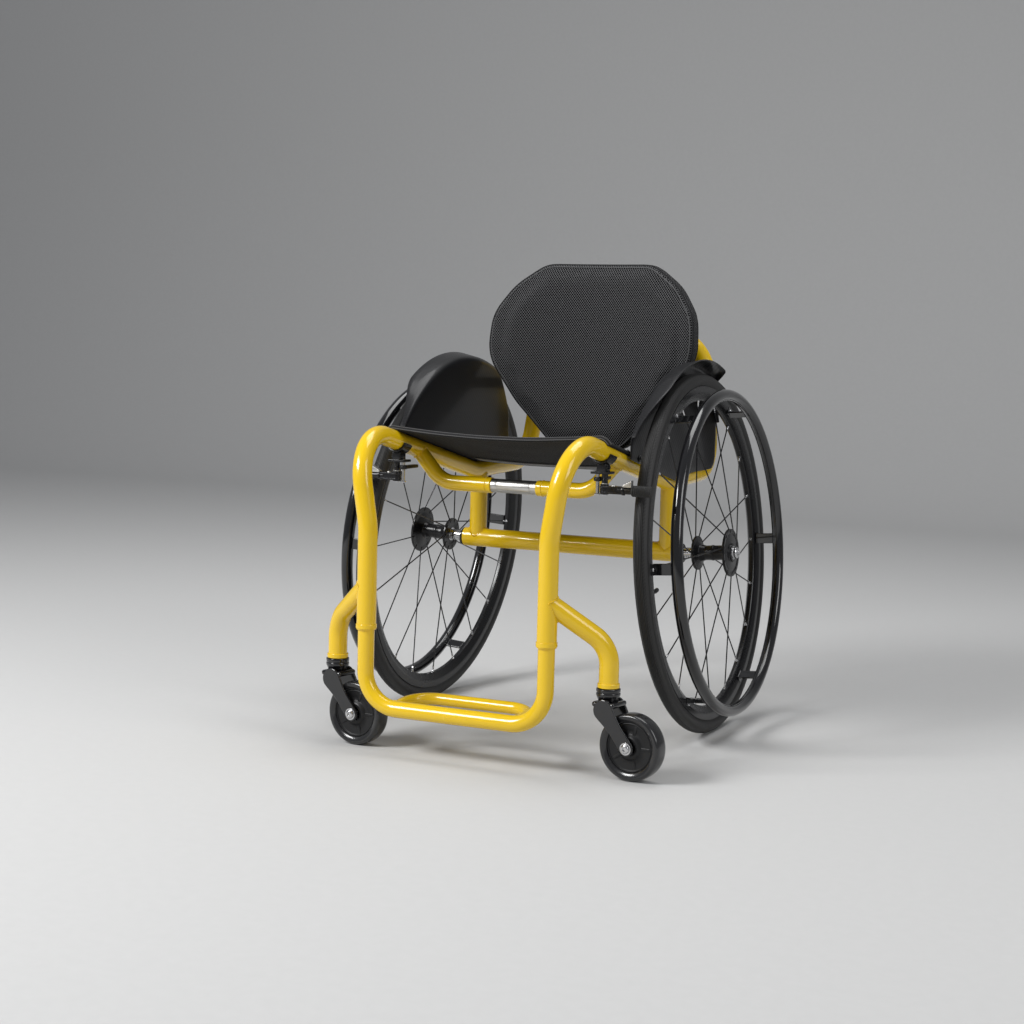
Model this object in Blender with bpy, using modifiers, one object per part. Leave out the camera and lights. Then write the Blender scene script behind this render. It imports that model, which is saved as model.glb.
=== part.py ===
"""Rigid-frame active wheelchair with cambered quick-release wheels, built as separate sub-parts.

Metres, +Z up. The chair faces -Y and its left side is +X. The floor is z = 0, and the origin lies on it
under the middle of the chair's box. Distances called ahead or behind are counted from the rear axle.
"""

from math import acos, atan2, ceil, cos, hypot, pi, radians, sin, sqrt, tan

import bmesh
import bpy
from mathutils import Matrix, Vector

# Clearances
GAP = 0.0003              # between two pieces that touch
SLIDE_GAP = 0.0003        # all round a tube or a plunger that slides
RUN_GAP = 0.0003          # all round a shaft that turns in its bearing

# Main frame tubes
TUBE_R = 0.015            # side tubes, posts and back hoop
AXLE_TUBE_R = 0.016
CROSS_R = 0.0125
ARM_R = 0.0148            # caster arms
FOOT_R = 0.0127           # telescoping foot tube
LOOP_R = 0.0095           # loop behind the foot tube
TUBE_SIDES = 10
BORE_SIDES = 16
ARC_STEP = radians(18)    # turn between two rings in a bend

# Side frame seen from the side
LEG_AHEAD = 0.430         # front legs ahead of the axle
LEG_X = 0.151             # front legs from the middle
RAIL_X = 0.1755           # seat rails from the middle
LEG_END_Z = 0.191
LEG_SPLAY_Z = 0.350       # where the legs start to lean out
LEG_SPLAY_R = 0.120
KNEE_R = 0.075
RAIL_SLOPE = radians(12.7)
RAIL_LOW_Z = 0.410        # rail height at its lowest bend
RAIL_LOW_AHEAD = 0.022
RAIL_LOW_R = 0.090
RAIL_END_BEHIND = 0.115
REAR_SLOPE = 0.0255       # rise of the rail per length behind its lowest bend
COLLAR_RISE = 0.002       # step ring above the leg's end
COLLAR_LEN = 0.006
COLLAR_WALL = 0.0012
BORE_MARGIN = 0.012       # bore of the leg past the highest place of the foot tube

# Foot tube
FOOT_Z = 0.072            # centre line of its cross run
FOOT_CORNER_R = 0.055
FOOT_INSERT = 0.069       # length inside the leg
FOOT_TRAVEL_UP = 0.050
LOOP_HALF = 0.103         # loop, half width at its centre line
LOOP_DEPTH = 0.078        # loop behind the foot tube
LOOP_RISE = 0.006
LOOP_CORNER_R = 0.042

# Caster arms and caster housings
ARM_ROOT_Z = 0.258        # where the arm's line meets the leg's
ARM_ROOT_SHARE = 0.07     # start of the arm inside the leg, off the leg's line
ARM_OUT = 0.079           # caster pivot outside the leg
ARM_BACK = 0.050          # caster pivot behind the leg
ARM_CORNER_Z = 0.193
ARM_BEND_R = 0.055
ARM_END_Z = 0.132
LIP_WALL = 0.0018
LIP_LEN = 0.007
HOUSING_R = 0.0180
HOUSING_LEN = 0.0187      # outside the arm
SPIGOT_LEN = 0.026        # inside the arm
SPIGOT_WALL = 0.0015
CASTER_BEARING_R = 0.0108
CASTER_BEARING_LEN = 0.007
STEM_R = 0.0055
STEM_NUT_LEN = 0.0045

# Caster fork and wheel
CASTER_TRAIL = 0.043
CASTER_REST_TURN = radians(-8)
CASTER_R = 0.050
CASTER_TYRE_DEPTH = 0.013
CASTER_HALF = 0.0140      # half width of the caster tyre
CASTER_CORE_HALF = 0.0125
CASTER_SEGMENTS = 24
FORK_SIDE_GAP = 0.0025
FORK_PLATE = 0.0040
FORK_CROWN = 0.008
FORK_LUG_R = 0.0120
FORK_CROWN_FRONT = 0.018
FORK_CROWN_REAR = 0.024
WHEEL_BOLT_R = 0.0040
BOLT_HEAD_R = 0.0072
BOLT_HEAD_LEN = 0.0045

# Cross tube between the rails
CROSS_BEHIND_BRAKE = 0.0636
CROSS_DROP = 0.052        # below the rail's centre line
CROSS_CORNER_X = 0.130
CROSS_BEND_R = 0.050
SLEEVE_HALF = 0.039
SLEEVE_R = 0.011
SLEEVE_STUB_R = 0.0080
SLEEVE_STUB_LEN = 0.015

# Back hoop
HOOP_CORNER_BEHIND = 0.198
HOOP_CORNER_R = 0.065
HOOP_TOP_Z = 0.651
HOOP_LEAN_IN = 0.10
HOOP_LEAN_BACK = 0.12
HOOP_TOP_R = 0.085

# Back pad and its shell
PAD_CORNERS = ((0.100, 0.7675), (0.186, 0.690), (0.190, 0.605), (0.062, 0.448))
PAD_RADII = (0.055, 0.050, 0.080, 0.045)
PAD_FRONT_BEHIND = 0.0853  # front face behind the axle, at PAD_LEAN_Z
PAD_LEAN_Z = 0.700
PAD_LEAN = 0.12
PAD_HOLLOW_R = 0.526      # radius of its hollow front
PAD_THICK = 0.045
PAD_CROWN = 0.004
PAD_SEAM_AT = 0.26        # seam from the front, share of the thickness
SHELL_SHARE = 0.88        # size of the shell against the pad
SHELL_THICK = 0.003
BRACKET_BELOW = 0.096     # middle of the brackets below the hoop's top run
BRACKET_FOOT_X = 0.128
BRACKET_PLATE = 0.006
BRACKET_SET_IN = 0.00095  # flat plate against the shell's facets
BRACKET_HEIGHT = 0.030
BRACKET_FOOT = 0.026
COLLAR_R = 0.0190         # clamps round a frame tube
COLLAR_HEIGHT = 0.024

# Seat sling
SLING_FRONT_AHEAD = 0.310
SLING_REAR_BEHIND = 0.085
SLING_OVERHANG = 0.0105   # outside the rail's centre line
SLING_THICK = 0.003
SLING_SAG_FRONT = 0.009
SLING_SAG_REAR = 0.003

# Rear wheels
CAMBER = radians(4.5)
TYRE_R = 0.295
TYRE_SECTION_R = 0.0125
TYRE_SEAT_IN = 0.0108     # seat of the rim inside the tyre's middle ring
RIM_SHOULDER_IN = 0.0097  # widest place of the rim inside its seat
RIM_DEPTH = 0.0217        # seat to the inner edge
RIM_HALF = 0.0102
RIM_EDGE = 0.0010         # rounding at the rim's seat
RIM_NOSE_HALF = 0.0048
WHEEL_SEGMENTS = 40
HUB_SEGMENTS = 16
HUB_INNER = 0.013         # hub's inner end, inboard of the wheel's plane
HUB_OUTER = 0.051
HUB_BARREL_R = 0.012
HUB_END_R = 0.0150
HUB_BORE_R = 0.0075
FLANGE_LEN = 0.004
INNER_FLANGE_R = 0.028
OUTER_FLANGE_R = 0.039
OUTER_FLANGE_AT = 0.0455
WHEEL_BEARING_R = 0.0113
WHEEL_BEARING_LEN = 0.0078
SPOKES_PER_FLANGE = 10
SPOKE_R = 0.0012
SPOKE_SIDES = 4
HANDRIM_IN = 0.0147       # middle ring of the handrim inside the rim's seat
HANDRIM_TUBE_R = 0.0095
HANDRIM_OUT = 0.047
HANDRIM_TABS = 6
TAB_WIDTH = 0.018
TAB_THICK = 0.0035

# Axle, camber plugs and quick-release pins
AXLE_TUBE_PAST = 0.0085   # axle tube past the rail's outer side
PLUG_FLANGE_R = 0.0155
PLUG_FLANGE = 0.0035
PLUG_CLEAR = 0.0016       # room for the tilt of the plug's flange
PLUG_DEPTH = 0.030
AXLE_TUBE_WALL = 0.0030
SPACER_R = 0.0090
SPACER_LEN = 0.0217
PIN_R = 0.00635
PIN_DEPTH = 0.002         # pin past the plug's flange, inside the tube
PIN_HEAD_R = 0.0095
PIN_HEAD_LEN = 0.0070
BUTTON_R = 0.0038
BUTTON_PROUD = 0.0030
BUTTON_LEN = 0.0070
BUTTON_TRAVEL = 0.0025

# Side guards
GUARD_THICK = 0.002
GUARD_STAND_OFF = 0.0055  # off the rail's outer side
GUARD_TYRE_GAP = 0.012    # fold of the lip above the tyre
GUARD_FRONT_RISE = 0.0323  # fold above the rail's centre line at the guard's front edge
GUARD_REAR_BEHIND = 0.170
GUARD_ARC_END_BEHIND = 0.105
GUARD_REAR_Z = 0.500
GUARD_HEM_RISE = 0.012    # lower edge above the rail's lowest bend, behind the axle
GUARD_LIP_OUT = 0.033
GUARD_LIP_RISE = 0.009
GUARD_COLUMNS = 18
GUARD_FIXING_IN = 0.036   # front fixing behind the guard's front edge
GUARD_FIXING_AHEAD = 0.022  # rear fixing
FIXING_R = 0.0045

# Brakes under the rails
SHOE_CLEAR = 0.014        # shoe off the tyre when released
SHOE_R = 0.0085
SHOE_LEN = 0.025
SHOE_OUT = 0.0490         # shoe's inner end outside the rail's centre line
BRAKE_RISE = 0.005        # shoe's axis above the rail's lowest bend
BRAKE_BAR_R = 0.00575
BRAKE_BOLT_R = 0.0030
BRAKE_BOLT_HEAD_R = 0.0045
BRAKE_BOLT_HEAD_LEN = 0.0030
BRAKE_ARM_BOLT_X = 0.0030  # arm's pivot outside the rail's centre line
BRAKE_LEVER_BOLT_X = -0.0085
BRAKE_SADDLE_RISE = 0.003  # top of the saddle above the rail's centre line
BRAKE_PLATE = 0.0040
BRAKE_PLATE_RISE = 0.0255  # middle of the plate above the shoe's axis
BRAKE_PLATE_HALF = 0.0125
BRAKE_PLATE_PAST = 0.0040  # more of the plate across the rail than along it
BRAKE_LINK_LEN = 0.027
BRAKE_LINK_HALF = 0.0072
BRAKE_LINK_THICK = 0.012
BRAKE_LEVER_RISE = 0.0150
BRAKE_LEVER_THICK = 0.006
BRAKE_LEVER_HALF = 0.006
BRAKE_LEVER_LEN = 0.038

# Places worked out from the sizes above
AXLE_Y = (LEG_AHEAD + TUBE_R - TYRE_R) / 2
TYRE_RING_R = TYRE_R - TYRE_SECTION_R
RIM_SEAT_R = TYRE_RING_R - TYRE_SEAT_IN
RIM_SHOULDER_R = RIM_SEAT_R - RIM_SHOULDER_IN
RIM_INNER_R = RIM_SEAT_R - RIM_DEPTH
HANDRIM_RING_R = RIM_SEAT_R - HANDRIM_IN
WHEEL_Z = TYRE_RING_R * cos(CAMBER) + TYRE_SECTION_R
AXLE_END_X = RAIL_X + TUBE_R + AXLE_TUBE_PAST
PLUG_OUTER = -(HUB_INNER + GAP + SPACER_LEN + GAP)
PLUG_INNER = PLUG_OUTER - PLUG_FLANGE
WHEEL_X = AXLE_END_X + PLUG_CLEAR - PLUG_INNER * cos(CAMBER)
AXLE_TUBE_Z = WHEEL_Z + PLUG_INNER * sin(CAMBER)
FORK_INNER = CASTER_HALF + FORK_SIDE_GAP
FORK_OUTER = FORK_INNER + FORK_PLATE
CROWN_TOP_Z = ARM_END_Z - HOUSING_LEN - 2 * GAP
BRACKET_Z = HOOP_TOP_Z - BRACKET_BELOW
BRAKE_Z = RAIL_LOW_Z + BRAKE_RISE
BRAKE_AHEAD = sqrt(TYRE_R ** 2 - (BRAKE_Z - WHEEL_Z) ** 2) + SHOE_CLEAR + SHOE_R
CROSS_AHEAD = BRAKE_AHEAD - CROSS_BEHIND_BRAKE
GUARD_REACH = TYRE_R + GUARD_TYRE_GAP
GUARD_DROP = WHEEL_Z - GUARD_FRONT_RISE - RAIL_LOW_Z + tan(RAIL_SLOPE) * RAIL_LOW_AHEAD
GUARD_FRONT_AHEAD = cos(RAIL_SLOPE) * (sin(RAIL_SLOPE) * GUARD_DROP
                                       + sqrt(GUARD_REACH ** 2 - (cos(RAIL_SLOPE) * GUARD_DROP) ** 2))
GUARD_X = RAIL_X + TUBE_R + GUARD_STAND_OFF + GUARD_THICK / 2
SIDES = (("left", 1), ("right", -1))


def at(x, behind, z):
    """A place given from the middle, behind the axle, and above the floor."""
    return Vector((x, AXLE_Y + behind, z))


def rail_z(behind):
    """Height of the rail's centre line on its sloping run."""
    return RAIL_LOW_Z + tan(RAIL_SLOPE) * (-RAIL_LOW_AHEAD - behind)


def rear_z(behind):
    """Height of the rail's centre line behind its lowest bend."""
    return RAIL_LOW_Z + REAR_SLOPE * (behind + RAIL_LOW_AHEAD)


def clear_scene():
    for old in list(bpy.data.objects):
        bpy.data.objects.remove(old, do_unlink=True)


def new_collection(name):
    made = bpy.data.collections.new(name)
    bpy.context.scene.collection.children.link(made)
    return made


def material(name, colour, roughness, metallic=0.0):
    made = bpy.data.materials.new(name)
    made.use_nodes = True
    shader = made.node_tree.nodes["Principled BSDF"]
    shader.inputs["Base Color"].default_value = (*colour, 1.0)
    shader.inputs["Roughness"].default_value = roughness
    shader.inputs["Metallic"].default_value = metallic
    return made


def wrap(name, mesh, collection=None):
    """A new object round a mesh."""
    made = bpy.data.objects.new(name, mesh)
    (collection or PARTS).objects.link(made)
    return made


def as_mesh(source):
    """The evaluated shape of an object as a plain welded mesh; the source is removed."""
    bpy.context.view_layer.update()
    graph = bpy.context.evaluated_depsgraph_get()
    mesh = bpy.data.meshes.new_from_object(source.evaluated_get(graph))
    bm = bmesh.new()
    bm.from_mesh(mesh)
    bmesh.ops.remove_doubles(bm, verts=bm.verts, dist=0.000001)
    bmesh.ops.recalc_face_normals(bm, faces=bm.faces)
    bm.to_mesh(mesh)
    bm.free()
    name = source.name
    place = source.matrix_world.copy()
    bpy.data.objects.remove(source, do_unlink=True)
    made = wrap(name, mesh)
    made.matrix_world = place
    return made


def from_bmesh(name, bm):
    mesh = bpy.data.meshes.new(name)
    bm.to_mesh(mesh)
    bm.free()
    return wrap(name, mesh)


def tube(name, points, radius, sides=TUBE_SIDES):
    """A round tube along points, with its end caps welded on."""
    curve = bpy.data.curves.new(name, "CURVE")
    curve.dimensions = "3D"
    spline = curve.splines.new("POLY")
    spline.points.add(len(points) - 1)
    for knot, point in zip(spline.points, points):
        knot.co = (*point, 1.0)
    curve.bevel_depth = radius
    curve.bevel_resolution = (sides - 4) // 2
    curve.use_fill_caps = True
    return as_mesh(wrap(name, curve))


def arc(before, corner, after, radius):
    """Points of the arc that rounds one corner."""
    arrive = (corner - before).normalized()
    leave = (after - corner).normalized()
    turn = arrive.angle(leave)
    axis = arrive.cross(leave).normalized()
    start = corner - arrive * radius * tan(turn / 2)
    centre = start + axis.cross(arrive) * radius
    steps = max(2, ceil(turn / ARC_STEP))
    return [centre + Matrix.Rotation(turn * k / steps, 3, axis) @ (start - centre) for k in range(steps + 1)]


def rounded_path(corners, radii):
    """Straight runs joined by arcs, one radius for each inner corner."""
    points = [corners[0]]
    for before, corner, after, radius in zip(corners, corners[1:], corners[2:], radii):
        points += arc(before, corner, after, radius)
    return points + [corners[-1]]


def rounded_loop(corners, radii):
    """A closed outline with each corner rounded."""
    points = []
    for k, (corner, radius) in enumerate(zip(corners, radii)):
        points += arc(corners[k - 1], corner, corners[(k + 1) % len(corners)], radius)
    return points


def turned(name, profile, segments):
    """A turned shape: (radius, height) points from top to bottom down its outer side."""
    closed = profile[0][0] > 0 or profile[-1][0] > 0
    count = len(profile)
    edges = [(k, (k + 1) % count) for k in range(count if closed else count - 1)]
    mesh = bpy.data.meshes.new(name)
    mesh.from_pydata([(radius, 0.0, height) for radius, height in profile], edges, [])
    made = wrap(name, mesh)
    screw = made.modifiers.new("Turn", "SCREW")
    screw.steps = segments
    screw.render_steps = segments
    screw.use_merge_vertices = True
    screw.merge_threshold = 0.00001
    screw.use_smooth_shade = False
    return made


def ring(name, outer, inner, top, bottom, segments):
    return turned(name, [(inner, top), (outer, top), (outer, bottom), (inner, bottom)], segments)


def rod(name, radius, start, end, sides=BORE_SIDES):
    """A straight round bar between two points."""
    bm = bmesh.new()
    along = end - start
    turn = along.to_track_quat("Z", "Y").to_matrix().to_4x4()
    place = Matrix.Translation((start + end) / 2) @ turn
    bmesh.ops.create_cone(bm, cap_ends=True, segments=sides, radius1=radius, radius2=radius,
                          depth=along.length, matrix=place)
    return from_bmesh(name, bm)


def box(name, low, high, bevel=0.0):
    """An upright box between two corners."""
    bm = bmesh.new()
    size = Matrix.Diagonal((*(high - low), 1.0))
    bmesh.ops.create_cube(bm, size=1.0, matrix=Matrix.Translation((low + high) / 2) @ size)
    made = from_bmesh(name, bm)
    if bevel:
        edges = made.modifiers.new("Edges", "BEVEL")
        edges.width = bevel
        edges.segments = 1
    return made


def beam(name, start, end, thick, height):
    """A flat bar between two points, upright across its length."""
    bm = bmesh.new()
    along = end - start
    side = Vector((0, 0, 1)).cross(along).normalized()
    up = along.normalized().cross(side)
    turn = Matrix((along.normalized(), side, up)).transposed().to_4x4()
    size = Matrix.Diagonal((along.length, thick, height, 1.0))
    bmesh.ops.create_cube(bm, size=1.0, matrix=Matrix.Translation((start + end) / 2) @ turn @ size)
    return from_bmesh(name, bm)


def stadium(name, first, second, radius_one, radius_two, thick, frame):
    """A flat plate round two circles, such as a link: drawn in the frame's XY plane."""
    gap = second - first
    turn = acos((radius_one - radius_two) / gap.length)
    base = atan2(gap.y, gap.x)
    outline = []
    for centre, radius, begin, sweep in ((second, radius_two, -turn, 2 * turn),
                                         (first, radius_one, turn, 2 * (pi - turn))):
        for k in range(9):
            angle = base + begin + sweep * k / 8
            outline.append(centre + radius * Vector((cos(angle), sin(angle))))
    curve = bpy.data.curves.new(name, "CURVE")
    curve.dimensions = "2D"
    curve.fill_mode = "BOTH"
    curve.extrude = thick / 2
    spline = curve.splines.new("POLY")
    spline.points.add(len(outline) - 1)
    for knot, point in zip(spline.points, outline):
        knot.co = (point.x, point.y, 0.0, 1.0)
    spline.use_cyclic_u = True
    made = wrap(name, curve)
    made.matrix_world = frame
    return as_mesh(made)


def boolean(target, tool, operation):
    """Cut a tool out of a target, or join it on; the tool goes to the cutters."""
    PARTS.objects.unlink(tool)
    CUTTERS.objects.link(tool)
    tool.name = f"{target.name}_{operation.lower()}"
    tool.hide_render = True
    tool.display_type = "WIRE"
    step = target.modifiers.new(operation.title(), "BOOLEAN")
    step.operation = operation
    step.object = tool
    step.solver = "EXACT"
    return target


def cut(target, tool):
    return boolean(target, tool, "DIFFERENCE")


def join(target, tool):
    return boolean(target, tool, "UNION")


def finish(made, name, paint, parent=None):
    """Name a sub-part, paint it and shade its round faces smooth."""
    made.name = name
    made.data.name = name
    made.data.materials.clear()
    made.data.materials.append(paint)
    made.data.shade_smooth()
    made.data.set_sharp_from_angle(angle=radians(35))
    if parent:
        made.parent = parent
    return made


def empty(name, place, parent=None):
    made = wrap(name, None)
    made.empty_display_size = 0.02
    made.parent = parent
    made.matrix_local = place
    return made


def side_path(sign):
    """Centre line of one side tube, from the foot of the leg to the rear end of the rail."""
    corners = [
        at(sign * LEG_X, -LEG_AHEAD, LEG_END_Z),
        at(sign * LEG_X, -LEG_AHEAD, LEG_SPLAY_Z),
        at(sign * RAIL_X, -LEG_AHEAD, rail_z(-LEG_AHEAD)),
        at(sign * RAIL_X, -RAIL_LOW_AHEAD, RAIL_LOW_Z),
        at(sign * RAIL_X, RAIL_END_BEHIND, rear_z(RAIL_END_BEHIND)),
    ]
    return rounded_path(corners, (LEG_SPLAY_R, KNEE_R, RAIL_LOW_R))


def rail_height(behind):
    """Height of the rounded rail's centre line at a place along the chair."""
    path = [point for point in side_path(1) if point.z < RAIL_LOW_Z + 1][::-1]
    y = AXLE_Y + behind
    for rear, front in zip(path, path[1:]):
        if front.y <= y <= rear.y:
            share = (y - front.y) / (rear.y - front.y)
            return front.z + share * (rear.z - front.z)
    return path[0].z


def hoop_path():
    """Centre line of the back hoop, from rail end to rail end."""
    start = RAIL_END_BEHIND + GAP
    low = rear_z(HOOP_CORNER_BEHIND)
    rise = HOOP_TOP_Z - low
    half = [
        (RAIL_X, start, rear_z(start)),
        (RAIL_X, HOOP_CORNER_BEHIND, low),
        (RAIL_X - HOOP_LEAN_IN * rise, HOOP_CORNER_BEHIND + HOOP_LEAN_BACK * rise, HOOP_TOP_Z),
    ]
    corners = [at(*point) for point in half] + [at(-x, y, z) for x, y, z in reversed(half)]
    return rounded_path(corners, (HOOP_CORNER_R, HOOP_TOP_R, HOOP_TOP_R, HOOP_CORNER_R))


def foot_path():
    """Centre line of the foot tube, from one leg to the other."""
    top = LEG_END_Z + FOOT_INSERT
    corners = [at(x, -LEG_AHEAD, z) for x, z in ((LEG_X, top), (LEG_X, FOOT_Z), (-LEG_X, FOOT_Z), (-LEG_X, top))]
    return rounded_path(corners, (FOOT_CORNER_R, FOOT_CORNER_R))


def make_side_tubes():
    for side, sign in SIDES:
        made = tube(f"{side}_side_tube", side_path(sign), TUBE_R)
        low = at(sign * LEG_X, -LEG_AHEAD, LEG_END_Z + COLLAR_RISE)
        up = Vector((0, 0, 1))
        join(made, rod("step ring", TUBE_R + COLLAR_WALL, low, low + up * COLLAR_LEN))
        bore_r = (FOOT_R + SLIDE_GAP) / cos(pi / BORE_SIDES)
        bore_top = LEG_END_Z + FOOT_INSERT + FOOT_TRAVEL_UP + BORE_MARGIN
        start = at(sign * LEG_X, -LEG_AHEAD, LEG_END_Z - COLLAR_LEN)
        end = at(sign * LEG_X, -LEG_AHEAD, bore_top)
        cut(made, rod("leg bore", bore_r, start, end))
        finish(made, made.name, YELLOW)


def make_axle_tube():
    made = rod("axle_tube", AXLE_TUBE_R, at(-AXLE_END_X, 0, AXLE_TUBE_Z), at(AXLE_END_X, 0, AXLE_TUBE_Z))
    for side, sign in SIDES:
        top = rail_height(0) - TUBE_R / 3
        post = rod("post", TUBE_R, at(sign * RAIL_X, 0, AXLE_TUBE_Z), at(sign * RAIL_X, 0, top))
        join(made, post)
        cut(made, tube("rail clearance", side_path(sign), TUBE_R + GAP))
        inner = at(sign * (AXLE_END_X - PLUG_DEPTH), 0, AXLE_TUBE_Z)
        outer = at(sign * (AXLE_END_X + PLUG_DEPTH), 0, AXLE_TUBE_Z)
        cut(made, rod("plug bore", AXLE_TUBE_R - AXLE_TUBE_WALL, inner, outer))
    finish(made, "axle_tube", YELLOW)


def make_cross_tube():
    level = rail_z(-CROSS_AHEAD) - CROSS_DROP
    stub_end = SLEEVE_HALF + SLEEVE_STUB_LEN
    for side, sign in SIDES:
        corners = [
            at(sign * RAIL_X, -CROSS_AHEAD, rail_z(-CROSS_AHEAD)),
            at(sign * CROSS_CORNER_X, -CROSS_AHEAD, level),
            at(sign * (SLEEVE_HALF + GAP), -CROSS_AHEAD, level),
        ]
        made = tube(f"{side}_cross_tube", rounded_path(corners, (CROSS_BEND_R,)), CROSS_R)
        cut(made, tube("rail clearance", side_path(sign), TUBE_R + GAP))
        end = at(sign * (stub_end + GAP), -CROSS_AHEAD, level)
        cut(made, rod("stub bore", SLEEVE_STUB_R + 2 * GAP, at(0, -CROSS_AHEAD, level), end))
        finish(made, made.name, YELLOW)
    profile = [(0, stub_end), (SLEEVE_STUB_R, stub_end), (SLEEVE_STUB_R, SLEEVE_HALF), (SLEEVE_R, SLEEVE_HALF),
               (SLEEVE_R, -SLEEVE_HALF), (SLEEVE_STUB_R, -SLEEVE_HALF), (SLEEVE_STUB_R, -stub_end), (0, -stub_end)]
    sleeve = turned("cross_tube_sleeve", profile, BORE_SIDES)
    sleeve.matrix_world = Matrix.Translation(at(0, -CROSS_AHEAD, level)) @ Matrix.Rotation(pi / 2, 4, "Y")
    finish(sleeve, sleeve.name, BARE)


def make_caster_arms():
    for side, sign in SIDES:
        pivot = (sign * (LEG_X + ARM_OUT), -LEG_AHEAD + ARM_BACK)
        bend = at(*pivot, ARM_CORNER_Z)
        root = at(sign * LEG_X, -LEG_AHEAD, ARM_ROOT_Z).lerp(bend, ARM_ROOT_SHARE)
        corners = [root, bend, at(*pivot, ARM_END_Z + LIP_LEN / 2)]
        made = tube(f"{side}_caster_arm", rounded_path(corners, (ARM_BEND_R,)), ARM_R)
        lip = rod("lip", ARM_R + LIP_WALL, at(*pivot, ARM_END_Z), at(*pivot, ARM_END_Z + LIP_LEN))
        join(made, lip)
        cut(made, tube("leg clearance", side_path(sign), TUBE_R + GAP))
        bore_top = ARM_END_Z + SPIGOT_LEN + GAP + STEM_NUT_LEN + 4 * GAP
        bore_r = ARM_R - SPIGOT_WALL
        cut(made, rod("spigot bore", bore_r, at(*pivot, ARM_END_Z - LIP_LEN), at(*pivot, bore_top)))
        finish(made, made.name, YELLOW)


def make_back_hoop():
    finish(tube("back_hoop", hoop_path(), TUBE_R), "back_hoop", YELLOW)


def make_foot_tube():
    made = tube("footrest_tube", foot_path(), FOOT_R)
    finish(made, made.name, YELLOW)
    rear = LOOP_DEPTH - LEG_AHEAD
    corners = [
        at(LOOP_HALF, -LEG_AHEAD, FOOT_Z),
        at(LOOP_HALF, rear, FOOT_Z + LOOP_RISE),
        at(-LOOP_HALF, rear, FOOT_Z + LOOP_RISE),
        at(-LOOP_HALF, -LEG_AHEAD, FOOT_Z),
    ]
    loop = tube("footrest_loop", rounded_path(corners, (LOOP_CORNER_R, LOOP_CORNER_R)), LOOP_R)
    cut(loop, tube("foot tube clearance", foot_path(), FOOT_R + GAP))
    finish(loop, loop.name, YELLOW)


def make_casters():
    bore_r = ARM_R - SPIGOT_WALL
    spigot_r = bore_r * cos(pi / BORE_SIDES) - GAP
    seat_r = CASTER_BEARING_R + GAP
    stem_bore = STEM_R + RUN_GAP
    lower = ARM_END_Z - GAP - HOUSING_LEN
    upper = ARM_END_Z + SPIGOT_LEN
    for side, sign in SIDES:
        pivot = at(sign * (LEG_X + ARM_OUT), -LEG_AHEAD + ARM_BACK, 0)
        shoulder = ARM_END_Z - GAP
        seat_len = CASTER_BEARING_LEN + GAP
        profile = [
            (seat_r, upper), (spigot_r, upper), (spigot_r, shoulder), (HOUSING_R, shoulder),
            (HOUSING_R, lower + HOUSING_LEN / 2), (HOUSING_R - 2 * LIP_WALL, lower), (seat_r, lower),
            (seat_r, lower + seat_len), (seat_r - LIP_WALL, lower + seat_len),
            (seat_r - LIP_WALL, upper - seat_len), (seat_r, upper - seat_len),
        ]
        housing = turned(f"{side}_caster_housing", profile, BORE_SIDES)
        housing.matrix_world = Matrix.Translation(pivot)
        finish(housing, housing.name, BLACK)
        for place, top in (("lower", lower + CASTER_BEARING_LEN), ("upper", upper)):
            name = f"{side}_housing_{place}_bearing"
            made = ring(name, CASTER_BEARING_R, stem_bore, top, top - CASTER_BEARING_LEN, BORE_SIDES)
            made.matrix_world = Matrix.Translation(pivot)
            finish(made, name, STEEL)
        make_caster_fork(side, pivot, lower, upper)


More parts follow.
